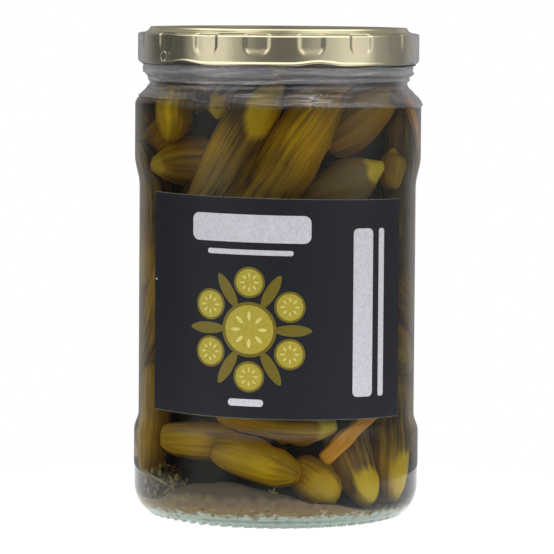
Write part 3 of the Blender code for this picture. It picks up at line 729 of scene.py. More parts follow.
def film_shell(thickness, wrinkle):
    """The shrunk film: an outline that follows lid, bead, neck and shoulder, offset to two faces and turned.

    radius(s, a) adds wrinkles, waves that run round the jar, grow from the lid's edge down to the free edge
    and are stretched slantwise, and the two side creases.
    """
    neck = NECK_R + FILM_GAP
    bead = BEAD_R + FILM_GAP
    skirt = LID_CURL_R + FILM_GAP
    outline = [(neck, z) for z in np.linspace(FILM_LOW_Z, SHOULDER_Z[1], 26)]
    outline += bend((neck, SHOULDER_Z[1] + 0.4 * MM), (neck + 0.6 * MM, BEAD_Z[0] + 0.2 * MM), 4)
    outline += bend((bead, BEAD_Z[0] + 1.2 * MM), (bead, BEAD_Z[1] - 1.4 * MM), 4)
    outline += bend((bead, BEAD_Z[1] - 1.0 * MM), (skirt, LID_CURL_Z + 0.7 * MM), 5)
    outline += run((skirt, LID_CURL_Z + 0.8 * MM), (skirt, LID_SHOULDER_Z - 0.6 * MM), 10)
    outline += arc((skirt - 1.1 * MM, LID_SHOULDER_Z - 0.4 * MM), (1.1 * MM, 0.75 * MM), 8, 80, 6)
    faces = outline + [(radius - thickness, height) for radius, height in outline[::-1]]
    outer = np.arange(len(faces))[:, None] < len(outline)

    def shrunk(radius, height, azimuths):
        side = np.sin(np.radians(azimuths))
        share = np.clip((SHOULDER_Z[1] - height) / (SHOULDER_Z[1] - FILM_LOW_Z), 0.0, 1.0)
        height = height - FILM_SLANT * side * share
        lift = np.where(outer, FILM_GAP, FILM_GAP - thickness)
        radius = np.where(share > 0, outside_at(height) + lift, radius)
        crease = FILM_CREASE * np.abs(side) ** 40 * smooth((height - BEAD_Z[1]) / (1.5 * MM))
        spot = place(azimuths * 0.6, height * 3.0, 44 * MM)
        slanted = place(azimuths + height / MM * 3.5, height * 5.0, 44 * MM)
        folds = 0.7 * np.abs(waves(spot, 7 * MM, 4)) + 0.35 * np.abs(waves(slanted, 4.5 * MM, 5))
        ridges = bell((height - 137.6 * MM) / (0.9 * MM)) + bell((height - 134.2 * MM) / (0.8 * MM))
        folds = folds + 1.5 * ridges * (0.7 + 0.3 * waves(spot, 12 * MM, 8))
        hem = bell((share - 0.94) / 0.06)
        loose = smooth((LID_CURL_Z + 0.6 * MM - height) / (2.5 * MM))
        edge = smooth((share - 0.82) / 0.18)
        radius = radius + crease + wrinkle * loose * (folds * (1 + 0.6 * edge) + hem)
        return radius, height + 0.5 * MM * edge * waves(spot, 9 * MM, 6)

    return turned(faces, FILM_COLUMNS, shrunk)


def gathered_shell(thickness):
    """Film that shrinking has bunched up round the neck, turned: a thin sleeve over the bead.

    radius(s, a) adds noise that is drawn out round the jar, so that it makes fine hoops.
    """
    heights = np.linspace(SHOULDER_Z[1] + 0.5 * MM, LID_CURL_Z - 0.1 * MM, 26)
    outline = np.array([
        (NECK_R, SHOULDER_Z[1]), (NECK_R, BEAD_Z[0]), (BEAD_R, BEAD_Z[0] + MM), (BEAD_R, BEAD_Z[1]),
        (LID_CURL_R - 0.5 * MM, LID_CURL_Z),
    ])
    radius = np.interp(heights, outline[:, 1], outline[:, 0]) + GATHERED_LIFT
    outer = list(zip(radius, heights))
    inner = [(distance - thickness, height) for distance, height in outer[::-1]]

    def hooped(radius, height, azimuths):
        spot = place(azimuths * 0.3, height * 4.0, 44 * MM)
        return radius + 0.3 * MM * waves(spot, 5 * MM, 9), height + 0.3 * MM * waves(spot, 20 * MM, 10)

    return turned(outer + inner, FILM_COLUMNS, hooped)


def film_marks(thickness):
    """The rim of the vent hole and three sharp creases: thin beads of film that lie on the film."""
    azimuth, height, radius = VENT
    turn = np.linspace(0.0, math.tau, 40, endpoint=False)[:, None]
    bead = np.linspace(0.0, math.tau, 8, endpoint=False)[None]
    wide = radius + thickness * np.cos(bead)
    skirt = LID_CURL_R + FILM_GAP + thickness * (1.2 + np.sin(bead))
    across = azimuth + np.degrees(wide * np.cos(turn) / LID_CURL_R)
    shells = [ring_shell(place(across, height + wide * np.sin(turn), skirt))]
    lift = FILM_GAP + 0.5 * MM
    for spots in FILM_CREASES:
        ends = [place(a, z * MM, outside_at(z * MM) + lift) for a, z in spots]
        shells.append(thread(*ends, CREASE_THICKNESS, 16, 6))
    return joined(shells)


def on_label(x, y, lift):
    """Point of the label for a distance across and up from its middle, and a height above its back."""
    azimuth = np.degrees(x / LABEL_R)
    return place(azimuth, LABEL_MIDDLE_Z + y - LABEL_SLANT * azimuth / LABEL_HALF_ARC, LABEL_R + lift)


def rounded_box(width, height, corner, turns=10):
    """Outline of a rectangle with round corners, counterclockwise, in metres, with points along its sides."""
    spots = []
    for number, (right, up) in enumerate(((1, -1), (1, 1), (-1, 1), (-1, -1))):
        centre = (right * (width / 2 - corner), up * (height / 2 - corner))
        spots += arc(centre, (corner, corner), 90 * number - 90, 90 * number, turns)
    spots.append(spots[0])
    spots = np.array(spots)
    reach = np.concatenate([[0], np.cumsum(np.linalg.norm(np.diff(spots, axis=0), axis=1))])
    even = np.linspace(0, reach[-1], 160, endpoint=False)
    both = np.unique(np.concatenate([even, reach[:-1]]))
    return np.stack([np.interp(both, reach, spots[:, 0]), np.interp(both, reach, spots[:, 1])], axis=-1)


def leaf(length, width, sides=48):
    """Outline of a leaf: an oval whose half width is the sine of the way along it, to the power 1.3."""
    turn = np.linspace(0, math.tau, sides, endpoint=False)
    across = width / 2 * np.sign(np.sin(turn)) * np.abs(np.sin(turn)) ** 1.3
    return np.stack([length / 2 * np.cos(turn), across], axis=-1)


def oval(width, height, sides=64):
    """Outline of an oval."""
    turn = np.linspace(0, math.tau, sides, endpoint=False)
    return np.stack([width / 2 * np.cos(turn), height / 2 * np.sin(turn)], axis=-1)


def moved(outline, centre, turn=0.0):
    """An outline turned by so many degrees and moved to a centre."""
    angle = math.radians(turn)
    way = np.array([[math.cos(angle), math.sin(angle)], [-math.sin(angle), math.cos(angle)]])
    return outline @ way + centre


def sheet_shell(outline, low, high, rings=14):
    """Thin plate on the label's curve: point(k, t) = middle + k (outline(t) - middle), back, then front."""
    middle = outline.mean(axis=0)
    share = np.linspace(0, 1, rings + 1)[1:, None, None]
    flat = middle + (outline[None] - middle) * share
    back = on_label(*np.moveaxis(flat, -1, 0), low)
    front = on_label(*np.moveaxis(flat[::-1], -1, 0), high)
    return ring_shell(np.concatenate([back, front]), [on_label(*middle, low), on_label(*middle, high)])


def girth(share):
    """A gherkin's radius along its length, as a share of its greatest radius: full, with rounded ends."""
    return np.clip(4.0 * share * (1.0 - share), 0.0, 1.0) ** 0.33


def gherkin_shares():
    """Where along a gherkin's length the points of its axis lie."""
    return np.linspace(0.1, 0.9, NODES_PER_GHERKIN)


def chain(start, end):
    """Points along a gherkin's axis, halfway between the straight line and the arc that follows the wall."""
    share = gherkin_shares()[:, None]
    first = place(start[0], start[1] * MM, start[2] * MM)
    last = place(end[0], end[1] * MM, end[2] * MM)
    straight = first + (last - first) * share
    turns = start[0] + (end[0] - start[0]) * share[:, 0]
    distances = (start[2] + (end[2] - start[2]) * share[:, 0]) * MM
    round_wall = place(turns, straight[:, 2], distances)
    return (straight + round_wall) / 2


def strewn(count, azimuths, heights, distance, most_lean, rng):
    """Ends and radius of gherkins spread evenly over a stretch of the wall, leaning this way and that."""
    for number in range(count):
        azimuth = azimuths[0] + (azimuths[1] - azimuths[0]) * ((number * GOLDEN + 0.25) % 1.0)
        height = heights[0] + (heights[1] - heights[0]) * (number + 0.5) / count
        lean = math.radians(most_lean * rng.uniform(-1, 1))
        half = rng.uniform(*LENGTHS) / 2
        swing = math.degrees(half * math.sin(lean) / distance)
        rise = half * math.cos(lean)
        low = (azimuth - swing, height - rise, distance + rng.uniform(-2, 1))
        high = (azimuth + swing, height + rise, distance + rng.uniform(-2, 1))
        yield low, high, rng.uniform(*RADII)


def settle(points, radii, give):
    """Moves the chains apart, by how much each gives way, until none overlap and all are inside the glass."""
    count, nodes, _ = points.shape
    rest = np.linalg.norm(points[:, :, None] - points[:, None], axis=3)
    owner = np.repeat(np.arange(count), nodes)
    radius = radii.reshape(-1)
    yields = np.repeat(give, nodes)
    moves = (yields > 0).astype(float)
    reach = (radius[:, None] + radius[None]) * SOFTNESS
    others = owner[:, None] != owner[None]
    weight = yields[:, None] / np.maximum(yields[:, None] + yields[None], 1e-9)
    lengths = rest[:, 0, -1, None]
    for _ in range(SETTLING_ROUNDS):
        flat = points.reshape(-1, 3)
        apart = flat[:, None] - flat[None]
        distance = np.linalg.norm(apart, axis=2) + 1e-9
        overlap = np.where(others, np.maximum(reach - distance, 0.0), 0.0)
        flat = flat + PUSH * (apart * (weight * overlap / distance)[:, :, None]).sum(axis=1)
        steep = np.minimum(np.abs(points[:, -1:, 2] - points[:, :1, 2]) / lengths, 1.0)
        down = (radii * np.sqrt(1.0 - steep ** 2) + lengths * steep * END_SHARE).reshape(-1)
        edge = np.minimum(np.hypot(flat[:, 0], flat[:, 1]) / FLOOR_EDGE_R, 1.0)
        low = FLOOR_MIDDLE_Z + (FLOOR_EDGE_Z - FLOOR_MIDDLE_Z) * edge + down + CONTENTS_GAP
        height = np.clip(flat[:, 2], low, HEAP_TOP_Z - radius)
        flat[:, 2] += moves * (height - flat[:, 2])
        room = np.minimum(wall_at(flat[:, 2] + radius * 0.5), wall_at(flat[:, 2] - radius * 0.5))
        out = np.hypot(flat[:, 0], flat[:, 1])
        inward = moves * np.maximum(out + radius + CONTENTS_GAP - room, 0.0) / np.maximum(out, MM)
        flat[:, :2] *= (1.0 - inward)[:, None]
        points = flat.reshape(count, nodes, 3)
        apart = points[:, :, None] - points[:, None]
        distance = np.linalg.norm(apart, axis=3) + 1e-9
        pull = apart * ((rest - distance) / distance * PULL)[:, :, :, None]
        points = points + pull.sum(axis=2) * (give > 0)[:, None, None]
    return points


def packed_gherkins(seed):
    """Axis points and greatest radius of every gherkin, with the carrots and the dill kept clear."""
    rng = random.Random(seed)
    ends = list(FRONT_GHERKINS.values())
    held = len(ends)
    ends.extend(strewn(SIDE_COUNT, SIDE_AZIMUTHS, SIDE_HEIGHTS, SIDE_DISTANCE, SIDE_LEAN, rng))
    ends.extend(strewn(HIDDEN_COUNT, HIDDEN_AZIMUTHS, HIDDEN_HEIGHTS, HIDDEN_DISTANCE, HIDDEN_LEAN, rng))
    total = len(ends)
    guards = [(start, end, width * CARROT_GUARD) for start, end, width in CARROTS.values()]
    azimuth, height, distance = DILL_MIDDLE
    reach = math.degrees(DILL_SIZE[0] / (distance * MM))
    first, last = (azimuth - reach, height, distance), (azimuth + reach, height, distance)
    guards.append((first, last, DILL_SIZE[2] / MM))
    everything = ends + guards
    points = np.array([chain(start, end) for start, end, _ in everything])
    greatest = np.array([radius for _, _, radius in everything]) * MM
    radii = greatest[:, None] * girth(gherkin_shares())[None]
    radii[total:] = greatest[total:, None]
    give = np.ones(len(everything))
    give[:held] = FRONT_GIVE
    give[total:] = 0.0
    settled = settle(points, radii, give)
    return list(zip(settled[:total], greatest[:total]))


def gherkin_shell(axis_points, radius, look, rings, sides, seed, patch):
    """Gherkin: point(s, t) = axis(s) + thick(s, t) (side cos t + out sin t).

    thick is the girth times the radius, with three blunt lobes, dents, wrinkles along the length, warts as
    round bumps, and ends that narrow as much as the look says.
    """
    golden, grey, pale_first, pale_last, sharp_first, sharp_last = look
    rng = np.random.default_rng(seed)
    curve = np.polynomial.polynomial.polyfit(np.linspace(0.1, 0.9, len(axis_points)), axis_points, 3)
    slope = np.polynomial.polynomial.polyder(curve)
    share = (0.5 - 0.5 * np.cos(np.linspace(0, math.pi, rings + 2)))[1:-1]
    axis = np.polynomial.polynomial.polyval(share, curve).T
    _, side, out = frames(axis, np.polynomial.polynomial.polyval(share, slope).T)
    length = np.linalg.norm(np.diff(axis, axis=0), axis=1).sum()
    turn = np.linspace(0.0, math.tau, sides, endpoint=False)[None]
    share = share[:, None]
    thick = radius * girth(share) * np.ones_like(turn)
    straight = np.stack(np.broadcast_arrays(radius * np.cos(turn), radius * np.sin(turn), share * length), -1)
    thick *= 1 + 0.035 * np.cos(3 * turn + rng.uniform(0, 6)) + 0.02 * np.cos(7 * turn + rng.uniform(0, 6))
    thick *= 1 + 0.05 * waves(straight, 26 * MM, seed + 50)
    thick += 0.10 * MM * waves(straight * [1, 1, 0.15], 2.6 * MM, seed + 90) * girth(share)
    for sharp, away in ((sharp_first, share), (sharp_last, 1 - share)):
        thick *= 1 - sharp * (1 - smooth(away / 0.3)) ** 1.5
    spots = rng.uniform([0.1, 0], [0.9, math.tau], (26, 2))
    height = rng.uniform(0.1, 0.42, 26)[:, None, None] * MM
    wide = rng.uniform(0.9, 1.7, 26)[:, None, None] * MM
    around = (turn[None] - spots[:, 1, None, None] + math.pi) % math.tau - math.pi
    far = np.hypot(around * radius, (share[None] - spots[:, 0, None, None]) * length)
    thick += (height * bell(far / (wide * 1.8))).sum(axis=0)
    grid = axis[:, None] + thick[..., None] * (
        side[:, None] * np.cos(turn)[..., None] + out[:, None] * np.sin(turn)[..., None]
    )
    poles = np.polynomial.polynomial.polyval(np.array([0.0, 1.0]), curve).T
    patchy = 0.25 * waves(straight, 30 * MM, seed + 7) + 0.35 * rng.uniform(-1, 1) * (share - 0.5)
    border = 0.13 + 0.02 * waves(straight, 8 * MM, seed)
    pale = pale_first * smooth((border - share) / 0.07 + 0.5)
    pale = pale + pale_last * smooth((border - 1 + share) / 0.12 + 0.5)
    patch_share, patch_turn, patch_half, patch_width, patch_strength = patch
    bleached = bell(np.hypot((share - patch_share) / patch_half, (turn - patch_turn) / patch_width))
    fields = {
        "straight": straight + [0.0, 0.0, seed * 0.37],
        "golden": np.clip(golden + patchy, 0.0, 1.0),
        "bleaching": bleached * patch_strength,
        "greyness": np.clip(grey + 0.2 * waves(straight, 18 * MM, seed + 3), 0.0, 1.0),
        "paleness": np.clip(pale * (1 + 0.15 * waves(straight, 5 * MM, seed)), 0.0, 1.0) * np.ones_like(turn),
    }
    return ring_shell(grid, poles, fields)


def inner_gherkins(count, seed):
    """Ends and radius of gherkins that stand in the middle of the heap, where the gaps show them."""
    rng = random.Random(seed)
    for number in range(count):
        azimuth = 360 * ((number * GOLDEN) % 1.0)
        height = 30 + 86 * (number + 0.5) / count
        lean = rng.uniform(-30, 30)
        yield (azimuth - lean, height - 24, 18), (azimuth + lean, height + 24, 20), rng.uniform(7, 8.5)


def core_shell(radius, low, high):
    """Lumpy column: a sphere drawn out between two heights, with its radius changed by noise."""
    lift = np.linspace(0, math.pi, 62)[1:-1, None]
    turn = np.linspace(0, math.tau, 96, endpoint=False)[None]
    height = low + (high - low) * (1 - np.cos(lift)) / 2
    wide = radius * np.sin(lift) ** 0.12
    spot = np.stack(np.broadcast_arrays(wide * np.cos(turn), wide * np.sin(turn), height), axis=-1)
    spot[..., :2] *= (1 + 0.08 * waves(spot, 14 * MM, 31))[..., None]
    return ring_shell(spot, [(0, 0, low), (0, 0, high)])


def brine_shell(reach, top):
    """The brine, turned: the jar's inside pushed out by how far it reaches into the wall, up to its level."""
    outline = np.array([point for point in fine_inner_side()[::-1] if point[1] < SHOULDER_Z[1] + MM])
    slope = np.gradient(outline, axis=0)
    slope /= np.linalg.norm(slope, axis=1, keepdims=True)
    pushed = outline + np.stack([slope[:, 1], -slope[:, 0]], axis=-1) * reach
    pushed[0] = (0.0, outline[0, 1] - reach)
    wall = [tuple(point) for point in pushed] + run(tuple(pushed[-1]), (MOUTH_R + reach, top), 4)
    surface = [(MOUTH_R * t, top) for t in (0.9, 0.6, 0.3, 0.0)]
    return turned(wall + surface, 240)


def carrot_shell(start, end, width, seed):
    """Cut stick: a superellipse of power 5 carried along a line that bends a little, with rough faces."""
    share = np.linspace(0, 1, 60)[:, None]
    first, last = place(start[0], start[1] * MM, start[2] * MM), place(end[0], end[1] * MM, end[2] * MM)
    axis = first + (last - first) * share
    outward = (first + last) * [1, 1, 0] / np.linalg.norm((first + last)[:2])
    axis += outward * 0.5 * MM * np.sin(share * math.pi)
    turn = np.linspace(0, math.tau, 64, endpoint=False)[None]
    half = width * MM / 2 * (1 + CARROT_TAPER * (0.5 - share))
    half = half * np.sqrt(np.sqrt(np.clip(1 - np.abs(2 * share - 1) ** 24, 0.02, 1)))
    reach = (np.abs(np.cos(turn)) ** 5 + np.abs(np.sin(turn)) ** 5) ** -0.2
    length = np.linalg.norm(last - first)
    spot = np.stack(np.broadcast_arrays(half * np.cos(turn), half * np.sin(turn), share * length), axis=-1)
    reach = reach * (1 + 0.04 * waves(spot * [1, 1, 0.3], 1.6 * MM, seed))
    fields = {"straight": spot + [0, 0, seed * 0.1]}
    across, deep = half * reach * np.cos(turn), CARROT_FLATNESS * half * reach * np.sin(turn)
    return swept(axis, across, deep, fields=fields)


def dill_shells(count, seed):
    """Curls of dill: threads whose ends and middles are drawn at random in the oval of the dill's place."""
    rng = np.random.default_rng(seed)
    azimuth, height, distance = DILL_MIDDLE
    wide, tall = math.degrees(DILL_SIZE[0] / (distance * MM)), DILL_SIZE[2] / MM
    shells = []
    for _ in range(count):
        turn, out = rng.uniform(0, math.tau), math.sqrt(rng.uniform())
        middle = np.array([azimuth + wide * out * math.cos(turn), height + tall * out * math.sin(turn)])
        middle[1] -= DILL_SUNK
        way, half = rng.uniform(0, math.tau), rng.uniform(0.8, 3.0)
        swing = np.array([math.cos(way) * 1.5, math.sin(way)]) * half
        depth = distance + rng.uniform(-3.0, 1.6)
        ends = [middle - swing, middle + rng.uniform(-1, 1, 2) * (7.5, 5.0), middle + swing]
        spots = [place(a, max(z - 1.0, 6.4) * MM, (depth + rng.uniform(-0.8, 0.8)) * MM) for a, z in ends]
        shells.append(thread(*spots, rng.uniform(0.16, 0.42) * MM))
    return shells


def stem_shells():
    """Pale dill stems and a few seeds among the curls, a star of pale threads and a bit by the pale tip."""
    azimuth, height, distance = DILL_MIDDLE
    height -= DILL_SUNK
    ends = (((-18, 4.0), (-6, 2.6), (8, 0.2)), ((-6, -5.5), (3, -2.0), (10, 1.5)), ((6, 4), (10, 1), (8, -3)))
    shells = []
    for spots in ends:
        stem = [place(azimuth + a, (height + z) * MM, (distance + 1.8) * MM) for a, z in spots]
        shells.append(thread(*stem, 0.42 * MM, 14, 7))
    rng = np.random.default_rng(12)
    for number in range(9):
        aside, up = rng.uniform(-14, 14), rng.uniform(-5, 5)
        spot = place(azimuth + aside, (height + up) * MM, (distance + 1.7) * MM)
        shells.append(pebble(spot, np.array([0.7, 0.7, 1.1]) * MM, 60 + number))
    bit = place(-1, 11.8 * MM, 40 * MM)
    for angle in np.linspace(0, math.tau, 6)[:-1]:
        way = np.array([math.cos(angle), 0.2, math.sin(angle)]) * 1.6 * MM
        shells.append(thread(bit, bit + way / 2, bit + way, 0.3 * MM))
    shells.append(pebble(place(61, 111.5 * MM, 38.4 * MM), np.array([0.6, 0.6, 0.6]) * MM, 80))
    return shells


def sediment_shell(rise):
    """Settled spice: a thin layer over the floor with a mound at the front left, carried round the axis.

    Each section runs outward over the layer's top and back along its underside at the floor. Its level at the
    wall is the floor's edge plus the rise times a bell over the azimuths, less the dip at the dill, or the
    bank at the sides and back if that is higher, with lumps. The attribute that chooses the colour grows with
    the height. On the underside it runs from near-white low against the glass, partly a painted highlight of
    the floor's edge, to tan. On the top it runs from brown to painted shade as the mound rises towards the
    dark core.
    """
    inside = np.array([point for point in fine_inner_side()[::-1] if point[1] < 14 * MM])
    azimuths = np.linspace(-180, 180, 400, endpoint=False)[:, None]
    middle, half = np.mean(MOUND_AZIMUTHS), np.ptp(MOUND_AZIMUTHS) / 2
    edge = place(azimuths[:, 0], FLOOR_EDGE_Z, FLOOR_EDGE_R)[:, None]
    share = bell((azimuths - middle) / half)
    bank = BANK_RISE * smooth((np.abs(azimuths) - BANK_AZIMUTH) / 20)
    dip = 1 - MOUND_DIP * bell((azimuths - DILL_MIDDLE[0]) / MOUND_DIP_WIDTH)
    deep = SPICE_LEAST + np.maximum(rise * share * dip, bank)
    level = FLOOR_EDGE_Z + deep * (1 + 0.2 * waves(edge, 15 * MM, 22))
    corner = inside[inside[:, 0] >= FLOOR_EDGE_R - 1e-9]
    wall = np.interp(level, corner[:, 1], corner[:, 0]) - 0.15 * MM
    radius = 3 * MM + (wall - 3 * MM) * np.linspace(0, 1, 80)[None] ** 0.6
    floor = np.interp(radius, inside[:, 0], inside[:, 1]) - 0.05 * MM
    slope = smooth((radius - 14 * MM) / (wall - 18 * MM))
    lumps = 0.5 * MM * waves(place(azimuths, floor, radius), 3 * MM, 21)
    top = np.maximum(floor, floor + (level - floor) * slope + lumps * share * slope) + 0.1 * MM
    faces = [place(azimuths, top, radius), place(azimuths, floor, radius)[:, ::-1]]
    # Painted highlight in part: the underside is palest low against the glass, where it stands for the bright
    # line along the floor's edge, and turns tan higher up.
    under = 0.52 * smooth((floor - FLOOR_EDGE_Z + 0.7 * MM) / (6.0 * MM)) * (radius > FLOOR_EDGE_R)
    # Painted shade: the top grows darker with the mound's height, towards the dark core.
    murk = np.concatenate([0.55 + (top - floor) / (12 * MM), under[:, ::-1]], axis=1)
    return ring_shell(np.concatenate(faces, axis=1), fields={"murk": murk})


def crumb_shells(count, seed):
    """Tan crumbs and seeds pressed to the glass along the floor's rounded edge, most of them at the front."""
    rng = np.random.default_rng(seed)
    corner = HEEL_TOP_Z - FLOOR_EDGE_Z - 0.2 * MM
    shells = []
    for number in range(count):
        azimuth = rng.normal(-15, 42)
        slope = math.radians(rng.uniform(20, 54))
        sizes = rng.uniform([0.25, 0.25, 0.15], [1.3, 0.55, 0.4]) * MM
        height, distance = HEEL_TOP_Z - corner * math.cos(slope), FLOOR_EDGE_R + corner * math.sin(slope)
        spot = place(azimuth, height, distance)
        shells.append(pebble(spot, sizes, number))
    return shells


def swatch(name, description, code):
    """Colour property whose default is an sRGB hex code."""
    return FloatVectorProperty(name=name, description=description, subtype="COLOR", default=linear(code))


def span(name, description, default):
    """Property for a length in metres."""
    return FloatProperty(name=name, description=description, default=default, unit="LENGTH")


class GlassSettings(bpy.types.PropertyGroup):
    """Sizes and colour of the glass."""
    knurls: IntProperty(name="Knurls", description="Knurls on the foot ring", default=60, min=12)
    knurl_rise: span("Knurl rise", "Height of the knurls", 0.8 * MM)
    tint: swatch("Glass tint", "Colour that light takes on in deep glass", "60D8CC")
    density: FloatProperty(name="Glass density", description="How fast the tint builds up", default=36.0)


class LidSettings(bpy.types.PropertyGroup):
    """Sizes and colours of the lid and the film."""
    flute_depth: span("Flute depth", "Depth of the flutes in the skirt", 0.48 * MM)
    lacquer: swatch("Lacquer", "Colour of the lacquered metal", "D9D0A8")
    film_thickness: span("Film thickness", "Thickness of the shrink film", 0.1 * MM)
    film_wrinkle: span("Film wrinkles", "Height of the film's wrinkles", 0.22 * MM)


class LabelSettings(bpy.types.PropertyGroup):
    """Sizes and colours of the label and its print."""
    paper_thickness: span("Paper thickness", "Thickness of the label paper", 0.14 * MM)
    corner: span("Corner", "Radius of the label's corners", 0.9 * MM)
    paper: swatch("Paper", "Colour of the label", "18191F")
    rim: span("Rim", "Bare edge of the paper", 0.12 * MM)
    bare: swatch("Bare paper", "Colour of the bare edge", "8A857C")
    light_ink: swatch("Light ink", "Colour of the plain bars", "C9C7CF")
    rind_ink: swatch("Rind ink", "Dark olive of the motif", "6B5F14")
    flesh_ink: swatch("Flesh ink", "Yellow olive of the motif", "A99A34")
    seed_ink: swatch("Seed ink", "Pale yellow of the motif", "D2C873")


class GherkinSettings(bpy.types.PropertyGroup):
    """The heap and its colours."""
    seed: IntProperty(name="Seed", description="Seed of the packing, as in the part's source", default=3)
    inner_count: IntProperty(
        name="Inner gherkins", description="Gherkins in the middle of the heap", default=16,
    )
    # The core's near-black olive brown is painted shade: it stands for the shade in the gaps between the
    # gherkins.
    core_radius: span("Core radius", "Radius of the flesh behind the gherkins", 27 * MM)
    core: swatch("Core", "Colour of the flesh behind the gherkins", "1C1508")
    brown: swatch("Brown skin", "Darkest skin", "523A0C")
    gold: swatch("Golden skin", "Golden skin", "D6A61E")
    bleached: swatch("Bleached skin", "Brightest patches", "FFD412")
    pale: swatch("Pale tip", "Colour of the pale tips", "F2D648")
    grey: swatch("Grey skin", "Colour of the dull skins", "86704A")


class GarnishSettings(bpy.types.PropertyGroup):
    """Carrots, dill and settled spice."""
    carrot: swatch("Carrot", "Colour of the carrot sticks", "E0900A")
    curls: IntProperty(name="Curls", description="Threads of dill", default=150, min=1)
    crumbs: IntProperty(name="Crumbs", description="Crumbs and seeds on the floor", default=170, min=1)
    crumb_dark: swatch("Dark crumbs", "Darker parts of the crumbs", "6E5030")
    crumb_light: swatch("Light crumbs", "Lighter parts of the crumbs", "F0CC98")
    dill_dark: swatch("Dark dill", "Darkest threads", "30260E")
    dill_light: swatch("Light dill", "Lightest threads", "9A7C34")
    straw_dark: swatch("Dark straw", "Darker parts of stems and seeds", "8A7238")
    straw_light: swatch("Light straw", "Lighter parts of stems and seeds", "CDB670")
    tan: swatch("Tan", "Colour of the settled spice above the silt", "C8A472")
    cloud: swatch("Spice", "Colour of the settled spice", "B89A7C")
    # The near-white of the settled spice against the glass is partly a painted highlight along the floor's
    # edge.
    silt: swatch("Silt", "Colour of the settled spice against the glass", "FFFCF2")
    sediment_rise: span("Sediment rise", "Greatest height of the settled spice", 7.5 * MM)


class BrineSettings(bpy.types.PropertyGroup):
    """The liquid."""
    tint: FloatVectorProperty(
        name="Brine tint", description="Colour that light takes on in deep brine", subtype="COLOR",
        default=(0.74, 0.55, 0.05),
    )
    density: FloatProperty(name="Brine density", description="How fast the tint builds up", default=42.0)
    reach: span("Brine reach", "How far the brine's surface lies inside the glass", 0.15 * MM)
    top: span("Brine level", "Height of the brine", 138.2 * MM)


class StageSettings(bpy.types.PropertyGroup):
    """Camera and light."""
    distance: span("Distance", "Camera to the jar's axis", 1.25)
    height: span("Height", "Height of the camera", 0.171)
    aim: span("Aim", "Height that the camera looks at", 0.0752)
    lens: FloatProperty(name="Lens", description="Focal length in mm on a 36 mm sensor", default=257.4)
    roll: FloatProperty(
        name="Roll", description="Turn of the camera about its own axis", default=math.radians(0.41),
        subtype="ANGLE",
    )
    floor_radius: span("Floor", "Radius of the pale floor", 0.14)
    brightness: FloatProperty(name="Brightness", description="Strength of the studio light", default=1.08)


class MakeGlass(bpy.types.Operator):
    """Builds the glass jar"""
    bl_idname = "pickle_jar.glass"
    bl_label = "Glass Jar"

    def execute(self, context):
        chosen = context.scene.jar_glass
        finish = soda_lime_glass(chosen.tint, chosen.density)
        put("jar_glass", glass_shell(chosen.knurls, chosen.knurl_rise), finish, ["glass_jar"])
        return {"FINISHED"}


class MakeLid(bpy.types.Operator):
    """Builds the twist-off lid"""
    bl_idname = "pickle_jar.lid"
    bl_label = "Lid"

    def execute(self, context):
        chosen = context.scene.jar_lid
        finish = lacquered_tinplate(chosen.lacquer)
        put("lid_metal", lid_shell(chosen.flute_depth), finish, ["lid"])
        return {"FINISHED"}


class MakeFilm(bpy.types.Operator):
    """Builds the clear shrink film round the lid and neck"""
    bl_idname = "pickle_jar.film"
    bl_label = "Shrink Film"

    def execute(self, context):
        chosen = context.scene.jar_lid
        film = film_shell(chosen.film_thickness, chosen.film_wrinkle)
        shell = joined([film, film_marks(chosen.film_thickness)])
        put("shrink_film", shell, shrink_film("shrink_film", FILM_CLEARNESS), ["shrink_band"])
        bunched = gathered_shell(chosen.film_thickness)
        dull = shrink_film("gathered_film", GATHERED_CLEARNESS)
        put("gathered_film", bunched, dull, ["shrink_band"])
        return {"FINISHED"}


class MakeLabel(bpy.types.Operator):
    """Builds the paper label and its print"""
    bl_idname = "pickle_jar.label"
    bl_label = "Label"

    def execute(self, context):
        chosen = context.scene.jar_label
        face = chosen.paper_thickness
        width = 2 * LABEL_R * math.radians(LABEL_HALF_ARC)
        rim = 2 * chosen.rim
        back = sheet_shell(rounded_box(width, LABEL_HEIGHT, chosen.corner), 0.0, face / 2, 30)
        front = sheet_shell(rounded_box(width - rim, LABEL_HEIGHT - rim, chosen.corner), face / 3, face, 40)
        put("label_back", back, printing_ink("bare_paper", chosen.bare), ["label"], sharp=50)
        put("label_sheet", front, coated_paper(chosen.paper), ["label"], sharp=50)
        for name, colour, layer, outlines in label_print(chosen):
            low, high = face - 0.02 * MM, face + layer * 0.025 * MM
            shells = [sheet_shell(outline, low, high) for outline in outlines]
            ink = printing_ink(name + "_ink", colour)
            put("print_" + name, joined(shells), ink, sharp=50)
        return {"FINISHED"}


